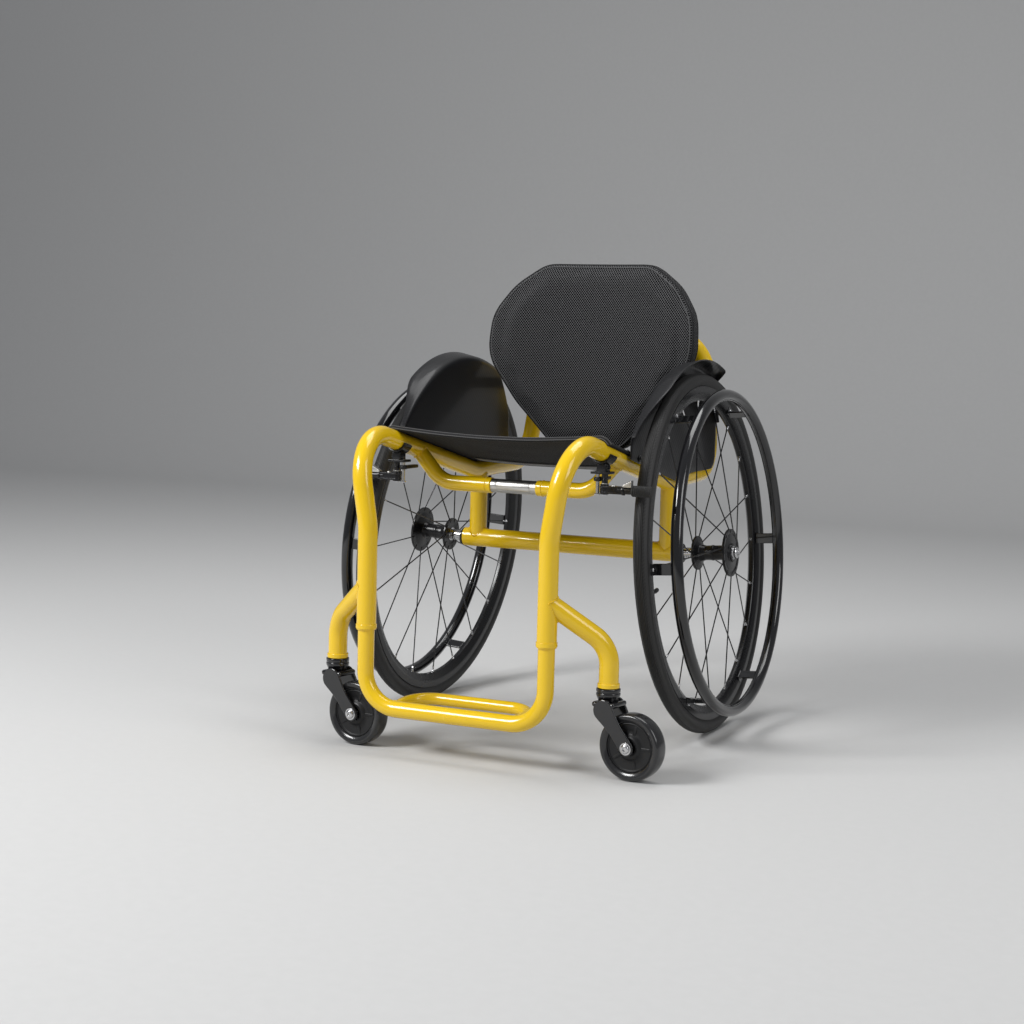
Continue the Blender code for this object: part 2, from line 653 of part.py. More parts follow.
def make_caster_fork(side, pivot, lower, upper):
    """One fork with its stem, and the wheel in it. The fork trails along its own +X."""
    swivel = empty(f"{side}_caster_swivel", Matrix.Translation(pivot) @ Matrix.Rotation(CASTER_REST_TURN, 4, "Z"))
    crown_low = CROWN_TOP_Z - FORK_CROWN
    low = Vector((-FORK_CROWN_FRONT, -FORK_OUTER, crown_low))
    high = Vector((FORK_CROWN_REAR, FORK_OUTER, CROWN_TOP_Z))
    fork = box(f"{side}_caster_fork", low, high, bevel=FORK_CROWN / 2)
    fork.parent = swivel
    across = (FORK_INNER + FORK_OUTER) / 2
    for y in (-across, across):
        upright = Matrix.Translation((0, y, 0)) @ Matrix.Rotation(pi / 2, 4, "X")
        first = Vector(((FORK_CROWN_REAR - FORK_CROWN_FRONT) / 2, crown_low - FORK_CROWN / 2))
        second = Vector((CASTER_TRAIL, CASTER_R))
        leg = stadium("fork leg", first, second, (FORK_CROWN_FRONT + FORK_CROWN_REAR) / 2 - FORK_CROWN / 2,
                      FORK_LUG_R, FORK_PLATE, upright)
        leg.parent = swivel
        join(fork, leg)
    nut_low = upper + GAP
    nut_top = nut_low + STEM_NUT_LEN
    nut_r = CASTER_BEARING_R - LIP_WALL
    stem = turned("stem", [(0, nut_top), (nut_r, nut_top), (nut_r, nut_low), (STEM_R, nut_low),
                           (STEM_R, CROWN_TOP_Z - FORK_CROWN / 2), (0, CROWN_TOP_Z - FORK_CROWN / 2)], BORE_SIDES)
    stem.parent = swivel
    join(fork, stem)
    bore = rod("axle hole", WHEEL_BOLT_R + GAP, Vector((CASTER_TRAIL, -FORK_OUTER - GAP, CASTER_R)),
               Vector((CASTER_TRAIL, FORK_OUTER + GAP, CASTER_R)))
    bore.parent = swivel
    cut(fork, bore)
    finish(fork, fork.name, BLACK)
    place = Matrix.Translation((CASTER_TRAIL, 0, CASTER_R)) @ Matrix.Rotation(pi / 2, 4, "X")
    axle = empty(f"{side}_caster_axle", place, swivel)
    head = FORK_OUTER + GAP
    profile = [
        (0, head + BOLT_HEAD_LEN), (BOLT_HEAD_R * 0.75, head + BOLT_HEAD_LEN),
        (BOLT_HEAD_R, head + BOLT_HEAD_LEN * 0.6), (BOLT_HEAD_R, head), (WHEEL_BOLT_R, head),
        (WHEEL_BOLT_R, -head), (BOLT_HEAD_R, -head), (BOLT_HEAD_R, -head - BOLT_HEAD_LEN * 0.6),
        (0, -head - BOLT_HEAD_LEN * 0.6),
    ]
    finish(turned(f"{side}_caster_axle_bolt", profile, BORE_SIDES), f"{side}_caster_axle_bolt", STEEL, axle)
    seam = CASTER_R - CASTER_TYRE_DEPTH
    shoulder = CASTER_HALF * 0.8
    tyre = turned(f"{side}_caster_tyre", [
        (seam, CASTER_CORE_HALF * 0.8), (CASTER_R - 0.006, CASTER_HALF), (CASTER_R - 0.0015, shoulder),
        (CASTER_R, shoulder * 0.5), (CASTER_R, -shoulder * 0.5), (CASTER_R - 0.0015, -shoulder),
        (CASTER_R - 0.006, -CASTER_HALF), (seam, -CASTER_CORE_HALF * 0.8),
    ], CASTER_SEGMENTS)
    finish(tyre, tyre.name, RUBBER, axle)
    seat = CASTER_BEARING_R + GAP
    core_r = seam - GAP
    core = turned(f"{side}_caster_core", [
        (seat, CASTER_CORE_HALF), (seat + 0.004, CASTER_CORE_HALF), (core_r, CASTER_CORE_HALF * 0.75),
        (core_r, -CASTER_CORE_HALF * 0.75), (seat + 0.004, -CASTER_CORE_HALF), (seat, -CASTER_CORE_HALF),
    ], CASTER_SEGMENTS)
    finish(core, core.name, BLACK, axle)
    name = f"{side}_caster_bearing"
    bearing = ring(name, CASTER_BEARING_R, WHEEL_BOLT_R + RUN_GAP, CASTER_CORE_HALF, -CASTER_CORE_HALF, BORE_SIDES)
    finish(bearing, name, STEEL, axle)


def wheel_frame(sign):
    """Wheel axes: X up the wheel, Z outboard along its axle, at the wheel's middle."""
    out = Vector((sign * cos(CAMBER), 0, sin(CAMBER)))
    up = Vector((-sign * sin(CAMBER), 0, cos(CAMBER)))
    turn = Matrix((up, out.cross(up), out)).transposed().to_4x4()
    return Matrix.Translation(at(sign * WHEEL_X, 0, WHEEL_Z)) @ turn


def spoke(bm, hub_r, hub_at, start_angle, end_angle):
    """One straight spoke from inside the edge of a hub flange to the nose of the rim."""
    start = Vector((hub_r * cos(start_angle), hub_r * sin(start_angle), hub_at))
    radial = Vector((cos(end_angle), sin(end_angle), 0))
    nose = radial * RIM_INNER_R
    along = (nose - start).normalized()
    end = nose - along * (GAP + SPOKE_R * sin(along.angle(radial))) / along.dot(radial)
    turn = along.to_track_quat("Z", "Y").to_matrix().to_4x4()
    bmesh.ops.create_cone(bm, cap_ends=True, segments=SPOKE_SIDES, radius1=SPOKE_R, radius2=SPOKE_R,
                          depth=(end - start).length, matrix=Matrix.Translation((start + end) / 2) @ turn)


def make_wheel(side, sign):
    axle = empty(f"{side}_wheel_axle", wheel_frame(sign))
    seat = RIM_SEAT_R + GAP
    edge = acos((TYRE_RING_R - seat) / TYRE_SECTION_R)
    points = 7
    profile = []
    for k in range(points):
        angle = (pi - edge) * (1 - 2 * k / (points - 1))
        profile.append((TYRE_RING_R + TYRE_SECTION_R * cos(angle), TYRE_SECTION_R * sin(angle)))
    finish(turned(f"{side}_tyre", profile, WHEEL_SEGMENTS), f"{side}_tyre", RUBBER, axle)
    rim = turned(f"{side}_rim", [
        (RIM_INNER_R, RIM_NOSE_HALF), (RIM_SHOULDER_R, RIM_HALF), (RIM_SEAT_R, RIM_HALF - RIM_EDGE),
        (RIM_SEAT_R, RIM_EDGE - RIM_HALF), (RIM_SHOULDER_R, -RIM_HALF), (RIM_INNER_R, -RIM_NOSE_HALF),
    ], WHEEL_SEGMENTS)
    finish(rim, rim.name, BLACK, axle)
    seat_r = WHEEL_BEARING_R + GAP
    seat_len = WHEEL_BEARING_LEN + GAP
    flange_low = OUTER_FLANGE_AT - FLANGE_LEN / 2
    flange_top = OUTER_FLANGE_AT + FLANGE_LEN / 2
    hub = turned(f"{side}_hub", [
        (seat_r, HUB_OUTER), (HUB_END_R, HUB_OUTER), (HUB_END_R, flange_top), (OUTER_FLANGE_R, flange_top),
        (OUTER_FLANGE_R, flange_low), (HUB_BARREL_R, flange_low - FLANGE_LEN),
        (HUB_BARREL_R, 2 * FLANGE_LEN - HUB_INNER), (INNER_FLANGE_R, FLANGE_LEN - HUB_INNER),
        (INNER_FLANGE_R, -HUB_INNER), (seat_r, -HUB_INNER), (seat_r, seat_len - HUB_INNER),
        (HUB_BORE_R, seat_len - HUB_INNER), (HUB_BORE_R, HUB_OUTER - seat_len), (seat_r, HUB_OUTER - seat_len),
    ], HUB_SEGMENTS)
    finish(hub, hub.name, BLACK, axle)
    bm = bmesh.new()
    step = pi / SPOKES_PER_FLANGE
    for k in range(SPOKES_PER_FLANGE):
        turn = 2 * step * k
        spoke(bm, OUTER_FLANGE_R - FLANGE_LEN, OUTER_FLANGE_AT, turn, turn + step)
        spoke(bm, INNER_FLANGE_R - FLANGE_LEN, FLANGE_LEN / 2 - HUB_INNER, turn + step, turn)
    spokes = from_bmesh("spokes", bm)
    spokes.parent = axle
    join(hub, spokes)
    for place, top in (("outer", HUB_OUTER), ("inner", WHEEL_BEARING_LEN - HUB_INNER)):
        name = f"{side}_hub_{place}_bearing"
        bearing = ring(name, WHEEL_BEARING_R, PIN_R + RUN_GAP, top, top - WHEEL_BEARING_LEN, HUB_SEGMENTS)
        finish(bearing, name, STEEL, axle)
    make_handrim(side, axle)


def make_handrim(side, axle):
    bpy.ops.mesh.primitive_torus_add(major_segments=WHEEL_SEGMENTS, minor_segments=6,
                                     major_radius=HANDRIM_RING_R, minor_radius=HANDRIM_TUBE_R)
    made = bpy.context.object
    for owner in list(made.users_collection):
        owner.objects.unlink(made)
    PARTS.objects.link(made)
    made.data.transform(Matrix.Translation((0, 0, HANDRIM_OUT)))
    bm = bmesh.new()
    slant = (RIM_HALF - RIM_NOSE_HALF) / (RIM_SHOULDER_R - RIM_INNER_R)
    reach = hypot(HANDRIM_RING_R + TAB_THICK / 2, TAB_WIDTH / 2) / cos(pi / WHEEL_SEGMENTS)
    near = RIM_NOSE_HALF + slant * (reach - RIM_INNER_R) + GAP
    length = HANDRIM_OUT - near
    for k in range(HANDRIM_TABS):
        turn = Matrix.Rotation(2 * pi * (k + 0.5) / HANDRIM_TABS, 4, "Z")
        place = Matrix.Translation((HANDRIM_RING_R, 0, near + length / 2))
        size = Matrix.Diagonal((TAB_THICK, TAB_WIDTH, length, 1.0))
        bmesh.ops.create_cube(bm, size=1.0, matrix=turn @ place @ size)
    tabs = from_bmesh("tabs", bm)
    tabs.parent = axle
    finish(made, f"{side}_handrim", BLACK, axle)
    join(made, tabs)


def make_axle_pins():
    tube_bore = (AXLE_TUBE_R - AXLE_TUBE_WALL) * cos(pi / BORE_SIDES)
    for side, sign in SIDES:
        frame = wheel_frame(sign)
        out = (frame.to_3x3() @ Vector((0, 0, 1))).normalized()
        middle = frame.translation
        plug = rod(f"{side}_camber_plug", PLUG_FLANGE_R, middle + out * PLUG_INNER, middle + out * PLUG_OUTER)
        inner = at(sign * (AXLE_END_X - PLUG_DEPTH + GAP), 0, AXLE_TUBE_Z)
        outer = at(sign * (AXLE_END_X + PLUG_CLEAR + PLUG_FLANGE / 2), 0, AXLE_TUBE_Z)
        join(plug, rod("spigot", tube_bore - GAP, inner, outer))
        deep = PLUG_INNER - PIN_DEPTH
        bore_r = (PIN_R + GAP) / cos(pi / HUB_SEGMENTS)
        cut(plug, rod("pin bore", bore_r, middle + out * (deep - GAP), middle + out * (PLUG_OUTER + GAP),
                      HUB_SEGMENTS))
        finish(plug, plug.name, BLACK)
        top = -HUB_INNER - GAP
        spacer = ring(f"{side}_axle_spacer", SPACER_R, PIN_R + GAP, top, top - SPACER_LEN, HUB_SEGMENTS)
        spacer.matrix_world = frame
        finish(spacer, spacer.name, STEEL)
        head_low = HUB_OUTER + GAP
        head_top = head_low + PIN_HEAD_LEN
        mouth_r = BUTTON_R + SLIDE_GAP
        floor = head_top + BUTTON_PROUD - BUTTON_LEN - BUTTON_TRAVEL - GAP
        pin = turned(f"{side}_axle_pin", [
            (0, floor), (mouth_r, floor), (mouth_r, head_top), (PIN_HEAD_R, head_top), (PIN_HEAD_R, head_low),
            (PIN_R, head_low), (PIN_R, deep), (0, deep),
        ], HUB_SEGMENTS)
        pin.matrix_world = frame
        finish(pin, pin.name, STEEL)
        top = head_top + BUTTON_PROUD
        button = turned(f"{side}_axle_button", [(0, top), (BUTTON_R, top), (BUTTON_R, top - BUTTON_LEN),
                                                (0, top - BUTTON_LEN)], HUB_SEGMENTS)
        button.matrix_world = frame
        finish(button, button.name, STEEL)


def guard_top(behind):
    """Height of the guard's fold: round the tyre, then straight down to the rear corner."""
    if behind <= GUARD_ARC_END_BEHIND:
        return WHEEL_Z + sqrt(GUARD_REACH ** 2 - behind ** 2)
    arc_z = WHEEL_Z + sqrt(GUARD_REACH ** 2 - GUARD_ARC_END_BEHIND ** 2)
    share = (behind - GUARD_ARC_END_BEHIND) / (GUARD_REAR_BEHIND - GUARD_ARC_END_BEHIND)
    return arc_z + (GUARD_REAR_Z - arc_z) * share ** 1.5


def guard_hem(behind):
    """Height of the guard's lower edge: along the rail, then level, with its rear corner rounded."""
    if behind < -RAIL_LOW_AHEAD:
        return rail_z(behind)
    level = RAIL_LOW_Z + GUARD_HEM_RISE * min(1.0, (behind + RAIL_LOW_AHEAD) / (3 * RAIL_LOW_AHEAD))
    past = behind - GUARD_REAR_BEHIND + RAIL_LOW_AHEAD
    corner = RAIL_LOW_AHEAD
    if past > 0:
        level += corner - sqrt(max(0.0, corner ** 2 - past ** 2))
    return level


def make_guards():
    for side, sign in SIDES:
        rows = 6
        bm = bmesh.new()
        bmesh.ops.create_grid(bm, x_segments=GUARD_COLUMNS, y_segments=rows - 1, size=0.5)
        length = GUARD_FRONT_AHEAD + GUARD_REAR_BEHIND
        for vert in bm.verts:
            behind = -GUARD_FRONT_AHEAD + (vert.co.x + 0.5) * length
            row = round((vert.co.y + 0.5) * (rows - 1))
            top = guard_top(behind)
            hem = guard_hem(behind)
            share = min(row, rows - 3) / (rows - 3)
            z = hem + (top - hem) * share
            out = 0.0
            lip = max(0, row - (rows - 3)) / 2
            if lip:
                clear = hypot(behind, top - WHEEL_Z) - TYRE_R
                fade = min(1.0, max(0.2, clear / GUARD_TYRE_GAP))
                out = GUARD_LIP_OUT * fade * lip
                z += GUARD_LIP_RISE * fade * lip * (1.6 - 0.6 * lip)
            vert.co = at(sign * (GUARD_X + out), behind, z)
        made = from_bmesh(f"{side}_side_guard", bm)
        shell = made.modifiers.new("Sheet", "SOLIDIFY")
        shell.thickness = GUARD_THICK
        shell.offset = 0.0
        shell.use_even_offset = True
        for ahead in (GUARD_FRONT_AHEAD - GUARD_FIXING_IN, GUARD_FIXING_AHEAD):
            z = guard_hem(-ahead) + FIXING_R + GUARD_THICK
            near = at(sign * (RAIL_X + TUBE_R / 2), -ahead, z)
            join(made, rod("spacer", FIXING_R, near, at(sign * GUARD_X, -ahead, z), TUBE_SIDES))
        cut(made, tube("rail clearance", side_path(sign), TUBE_R + GAP))
        finish(made, made.name, CARBON)


def pad_face(x, z):
    """Front face of the back pad: leaning back, and hollow from side to side."""
    return PAD_FRONT_BEHIND + PAD_LEAN * (z - PAD_LEAN_Z) - x * x / (2 * PAD_HOLLOW_R)


def pad_outline(share):
    """Outline of the pad as (x, z) points, scaled about its middle."""
    corners = [Vector((x, z, 0)) for x, z in PAD_CORNERS]
    corners += [Vector((-x, z, 0)) for x, z in reversed(PAD_CORNERS)]
    radii = PAD_RADII + tuple(reversed(PAD_RADII))
    middle = Vector((0, (PAD_CORNERS[0][1] + PAD_CORNERS[-1][1]) / 2, 0))
    return [middle + (point - middle) * share for point in rounded_loop(corners, radii)]


def ring_stack(name, rings, closed):
    """A skin through rings of one outline: (share of the outline, depth behind the pad's face)."""
    bm = bmesh.new()
    loops = []
    for share, depth in rings:
        verts = [bm.verts.new(at(p.x, pad_face(p.x, p.y) + depth, p.y)) for p in pad_outline(share)]
        loops.append([bm.edges.new(pair) for pair in zip(verts, verts[1:] + verts[:1])])
    for first, second in zip(loops, loops[1:]):
        bmesh.ops.bridge_loops(bm, edges=first + second)
    for loop in (loops[0], loops[-1]) if closed else (loops[-1],):
        bmesh.ops.contextual_create(bm, geom=loop)
    bmesh.ops.triangulate(bm, faces=bm.faces, quad_method="SHORT_EDGE")
    bmesh.ops.recalc_face_normals(bm, faces=bm.faces)
    return from_bmesh(name, bm)


def make_back():
    seam = PAD_THICK * PAD_SEAM_AT
    pad = ring_stack("back_pad", [
        (0.30, -PAD_CROWN), (0.62, -PAD_CROWN * 0.8), (0.85, -PAD_CROWN * 0.2), (0.95, PAD_CROWN * 0.7),
        (0.99, seam * 0.55), (1.0, seam), (0.975, PAD_THICK * 0.55), (0.96, PAD_THICK * 0.85),
        (SHELL_SHARE, PAD_THICK), (0.6, PAD_THICK), (0.3, PAD_THICK),
    ], True)
    finish(pad, pad.name, MESH_FABRIC)
    depth = PAD_THICK + GAP + SHELL_THICK / 2
    shell = ring_stack("back_shell", [(SHELL_SHARE, depth), (0.6, depth), (0.3, depth)], False)
    sheet = shell.modifiers.new("Sheet", "SOLIDIFY")
    sheet.thickness = SHELL_THICK
    sheet.offset = 0.0
    finish(shell, shell.name, CARBON)
    for side, sign in SIDES:
        rise = BRACKET_Z - rear_z(HOOP_CORNER_BEHIND)
        cane = at(sign * (RAIL_X - HOOP_LEAN_IN * rise), HOOP_CORNER_BEHIND + HOOP_LEAN_BACK * rise, BRACKET_Z)
        lean = Vector((-sign * HOOP_LEAN_IN, HOOP_LEAN_BACK, 1)).normalized()
        made = rod(f"{side}_back_bracket", COLLAR_R, cane - lean * COLLAR_HEIGHT / 2, cane + lean * COLLAR_HEIGHT / 2)
        back = PAD_THICK + 2 * GAP + SHELL_THICK + BRACKET_PLATE / 2 - BRACKET_SET_IN
        foot = at(sign * BRACKET_FOOT_X, pad_face(BRACKET_FOOT_X, BRACKET_Z) + back, BRACKET_Z)
        along = Vector((1, -sign * BRACKET_FOOT_X / PAD_HOLLOW_R, 0)).normalized()
        lift = Vector((0, PAD_LEAN, 1)).normalized()
        half = along * BRACKET_FOOT / 2
        plate = beam("foot plate", foot - half, foot + half, BRACKET_PLATE - 2 * GAP, BRACKET_HEIGHT)
        tilt = Matrix.Translation(foot) @ Vector((0, 0, 1)).rotation_difference(lift).to_matrix().to_4x4()
        plate.data.transform(tilt @ Matrix.Translation(-foot))
        join(made, plate)
        join(made, beam("arm", foot, cane, BRACKET_PLATE, BRACKET_HEIGHT * 0.7))
        cut(made, tube("hoop clearance", hoop_path(), TUBE_R + GAP))
        finish(made, made.name, BLACK)


def sling_under(x, behind):
    """Underside of the seat sling: resting on the rails, sagging between them."""
    rest = rail_height(behind) + TUBE_R / cos(RAIL_SLOPE) + GAP
    if abs(x) >= RAIL_X:
        return rest - (abs(x) - RAIL_X) ** 2 / (2 * TUBE_R)
    length = SLING_FRONT_AHEAD + SLING_REAR_BEHIND
    sag = SLING_SAG_FRONT + (SLING_SAG_REAR - SLING_SAG_FRONT) * (behind + SLING_FRONT_AHEAD) / length
    return rest - sag * (1 - (x / RAIL_X) ** 2)


def make_seat():
    bm = bmesh.new()
    columns = 12
    bmesh.ops.create_grid(bm, x_segments=columns, y_segments=12, size=0.5)
    length = SLING_FRONT_AHEAD + SLING_REAR_BEHIND
    over = 2
    half = columns / 2 - over
    for vert in bm.verts:
        column = round((vert.co.x + 0.5) * columns) - columns / 2
        x = min(abs(column), half) / half * RAIL_X + max(0, abs(column) - half) / over * SLING_OVERHANG
        x = x if column > 0 else -x
        behind = -SLING_FRONT_AHEAD + (vert.co.y + 0.5) * length
        vert.co = at(x, behind, sling_under(x, behind) + SLING_THICK / 2)
    sling = from_bmesh("seat_sling", bm)
    sheet = sling.modifiers.new("Sheet", "SOLIDIFY")
    sheet.thickness = SLING_THICK
    sheet.offset = 0.0
    finish(sling, sling.name, SEAT_FABRIC)


def make_brakes():
    shoe_y = -BRAKE_AHEAD
    rail = rail_z(shoe_y)
    plate_z = BRAKE_Z + BRAKE_PLATE_RISE
    for side, sign in SIDES:
        along = Vector((0, cos(RAIL_SLOPE), -sin(RAIL_SLOPE))) * COLLAR_HEIGHT / 2
        middle = at(sign * RAIL_X, shoe_y, rail)
        clamp = rod(f"{side}_brake_clamp", COLLAR_R, middle - along, middle + along)
        half = Vector((BRAKE_PLATE_HALF * 0.8, BRAKE_PLATE_HALF * 0.8, 0))
        drop = Vector((0, 0, plate_z - rail))
        join(clamp, box("neck", middle + drop - half, middle + half))
        plate_low = Vector((sign * RAIL_X - BRAKE_PLATE_HALF - BRAKE_PLATE_PAST, middle.y - BRAKE_PLATE_HALF,
                            plate_z - BRAKE_PLATE / 2))
        plate_high = Vector((sign * RAIL_X + BRAKE_PLATE_HALF + BRAKE_PLATE_PAST, middle.y + BRAKE_PLATE_HALF,
                             plate_z + BRAKE_PLATE / 2))
        join(clamp, box("plate", plate_low, plate_high, bevel=BRAKE_PLATE / 4))
        cut(clamp, tube("rail clearance", side_path(sign), TUBE_R + GAP))
        rise = Vector((0, sin(RAIL_SLOPE), cos(RAIL_SLOPE))) * (COLLAR_R + BRAKE_SADDLE_RISE)
        cut(clamp, beam("saddle top", middle + rise - 2 * along, middle + rise + 2 * along, 3 * COLLAR_R, 2 * COLLAR_R))
        bolt_low = BRAKE_Z - BRAKE_LINK_THICK / 2 - GAP
        for offset in (BRAKE_ARM_BOLT_X, BRAKE_LEVER_BOLT_X):
            bolt = turned("bolt", [
                (0, plate_z), (BRAKE_BOLT_R, plate_z), (BRAKE_BOLT_R, bolt_low),
                (BRAKE_BOLT_HEAD_R, bolt_low), (BRAKE_BOLT_HEAD_R, bolt_low - BRAKE_BOLT_HEAD_LEN),
                (0, bolt_low - BRAKE_BOLT_HEAD_LEN),
            ], TUBE_SIDES)
            bolt.matrix_world = Matrix.Translation(at(sign * (RAIL_X + offset), shoe_y, 0))
            join(clamp, bolt)
        finish(clamp, clamp.name, BLACK)
        make_shoe_arm(side, sign, shoe_y)
        make_lever(side, sign, shoe_y)


def make_shoe_arm(side, sign, shoe_y):
    """Link, bar and shoe of one brake, turning about the outer of the two pivot bolts."""
    origin = at(sign * (RAIL_X + BRAKE_ARM_BOLT_X), shoe_y, BRAKE_Z)
    pivot = empty(f"{side}_brake_shoe_pivot", Matrix.Translation(origin))
    link_end = Vector((sign * BRAKE_LINK_LEN, 0))
    arm = stadium(f"{side}_brake_shoe_arm", Vector((0, 0)), link_end, BRAKE_LINK_HALF, BRAKE_LINK_HALF * 0.9,
                  BRAKE_LINK_THICK, Matrix.Identity(4))
    arm.parent = pivot
    start = Vector((sign * BRAKE_LINK_LEN, 0, 0))
    shoe_in = Vector((sign * (SHOE_OUT - BRAKE_ARM_BOLT_X), 0, 0))
    shoe_end = shoe_in + Vector((sign * SHOE_LEN, 0, 0))
    for piece in (rod("bar", BRAKE_BAR_R, start, shoe_in + Vector((sign * SHOE_R, 0, 0))),
                  rod("shoe", SHOE_R, shoe_in, shoe_end)):
        piece.parent = pivot
        join(arm, piece)
    reach = Vector((0, 0, BRAKE_LINK_THICK))
    hole = rod("pivot hole", (BRAKE_BOLT_R + RUN_GAP) / cos(pi / BORE_SIDES), -reach, reach)
    hole.parent = pivot
    cut(arm, hole)
    finish(arm, arm.name, BLACK)


def make_lever(side, sign, shoe_y):
    """Hand lever of one brake, turning about the inner pivot bolt and lying along the rail."""
    origin = at(sign * (RAIL_X + BRAKE_LEVER_BOLT_X), shoe_y, BRAKE_Z + BRAKE_LEVER_RISE)
    pivot = empty(f"{side}_brake_lever_pivot", Matrix.Translation(origin))
    lever = stadium(f"{side}_brake_lever", Vector((0, 0)), Vector((0, BRAKE_LEVER_LEN)), BRAKE_LEVER_HALF,
                    BRAKE_LEVER_HALF, BRAKE_LEVER_THICK, Matrix.Identity(4))
    lever.parent = pivot
    reach = Vector((0, 0, BRAKE_LEVER_THICK))
    hole = rod("pivot hole", (BRAKE_BOLT_R + RUN_GAP) / cos(pi / BORE_SIDES), -reach, reach)
    hole.parent = pivot
    cut(lever, hole)
    finish(lever, lever.name, BLACK)


clear_scene()
PARTS = new_collection("wheelchair")
CUTTERS = new_collection("cutters")
YELLOW = material("yellow_paint", (0.80, 0.47, 0.02), 0.22)
BARE = material("brushed_aluminium", (0.62, 0.61, 0.58), 0.40, 1.0)
BLACK = material("black_paint", (0.012, 0.012, 0.013), 0.25)
CARBON = material("carbon_sheet", (0.014, 0.014, 0.015), 0.18)
STEEL = material("polished_steel", (0.66, 0.66, 0.67), 0.20, 1.0)
RUBBER = material("rubber", (0.016, 0.016, 0.017), 0.60)
SEAT_FABRIC = material("seat_fabric", (0.013, 0.013, 0.014), 0.85)
MESH_FABRIC = material("spacer_mesh_fabric", (0.022, 0.022, 0.023), 0.80)

make_side_tubes()
make_axle_tube()
make_cross_tube()
make_caster_arms()
make_back_hoop()
make_foot_tube()
make_casters()
for wheel_side, wheel_sign in SIDES:
    make_wheel(wheel_side, wheel_sign)
make_axle_pins()
make_guards()
make_back()
make_seat()
make_brakes()
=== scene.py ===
"""Finished looks of the active wheelchair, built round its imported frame.

Metres, +Z up. The chair faces -Y and its left side is +X. Distances called ahead or behind are counted
from the rear axle. Each piece is made where it belongs, with its object at the origin. A profile is a
list of (radius, height) points, and a place is a matrix whose Z is the axis of what stands there.
"""

from math import acos, atan2, ceil, cos, hypot, pi, radians, sin, sqrt, tan

import bmesh
import bpy
from mathutils import Matrix, Vector, noise
from mathutils.bvhtree import BVHTree
from mathutils.kdtree import KDTree


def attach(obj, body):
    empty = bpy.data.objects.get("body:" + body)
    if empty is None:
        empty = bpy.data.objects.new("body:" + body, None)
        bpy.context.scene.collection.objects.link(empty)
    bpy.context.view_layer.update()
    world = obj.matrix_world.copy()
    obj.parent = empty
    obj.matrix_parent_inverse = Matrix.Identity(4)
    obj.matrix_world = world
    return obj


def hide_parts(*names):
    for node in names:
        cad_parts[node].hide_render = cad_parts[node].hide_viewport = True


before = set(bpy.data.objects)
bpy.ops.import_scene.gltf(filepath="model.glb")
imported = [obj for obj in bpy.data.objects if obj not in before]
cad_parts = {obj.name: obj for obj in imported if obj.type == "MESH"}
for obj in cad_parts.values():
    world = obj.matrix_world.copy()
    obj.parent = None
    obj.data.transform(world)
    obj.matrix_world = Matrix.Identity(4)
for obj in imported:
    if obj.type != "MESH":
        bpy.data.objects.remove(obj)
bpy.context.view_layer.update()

# Directions and places
SIDES = (("left", 1), ("right", -1))
LEFTWARD, REARWARD, UP = Vector((1, 0, 0)), Vector((0, 1, 0)), Vector((0, 0, 1))
HERE = Matrix.Identity(4)
AXLE_Y = 0.075

# How far fitted parts stand apart, and how far a ring or bead sinks into the tube it sits on
GAP, SUNK = 0.0003, 0.0004

# Frame tubes
TUBE_R = 0.015
LEG_AHEAD, LEG_X, LEG_END_Z, LEG_SPLAY_Z = 0.430, 0.151, 0.191, 0.350
MOUTH_GAP, MOUTH_DEPTH = 0.0006, 0.012
RAIL_X, RAIL_SLOPE, RAIL_LOW_Z, RAIL_LOW_AHEAD = 0.1755, radians(12.7), 0.410, 0.022
RAIL_END_BEHIND, REAR_SLOPE = 0.115, 0.0255
ALONG_RAIL = Vector((0, cos(RAIL_SLOPE), -sin(RAIL_SLOPE)))
SIDE_RADII = (0.120, 0.075, 0.090)
FOOT_R, FOOT_Z, FOOT_TOP_Z, FOOT_CORNER_R = 0.0127, 0.072, 0.260, 0.055
LOOP_R, LOOP_HALF, LOOP_DEPTH, LOOP_RISE, LOOP_CORNER_R = 0.0095, 0.103, 0.078, 0.006, 0.042
ARM_R, ARM_OUT, ARM_BACK, ARM_ROOT_Z, ARM_CORNER_Z = 0.0148, 0.079, 0.050, 0.258, 0.193
ARM_BEND_R, ARM_END_Z = 0.055, 0.132
CROSS_R, CROSS_AHEAD, CROSS_DROP, CROSS_CORNER_X, CROSS_BEND_R = 0.0125, 0.228, 0.052, 0.130, 0.050
SLEEVE_R, SLEEVE_HALF, SLEEVE_BEAD, SLEEVE_PLUG_R, SLEEVE_PLUG = 0.011, 0.039, 0.010, 0.0079, 0.012
AXLE_TUBE_R, AXLE_TUBE_Z, AXLE_END_X, AXLE_BORE_R = 0.016, 0.29112, 0.199, 0.0134
HOOP_CORNER_BEHIND, HOOP_TOP_Z, HOOP_LEAN_IN, HOOP_LEAN_BACK = 0.198, 0.651, 0.10, 0.12
HOOP_CORNER_R, HOOP_TOP_R = 0.065, 0.085

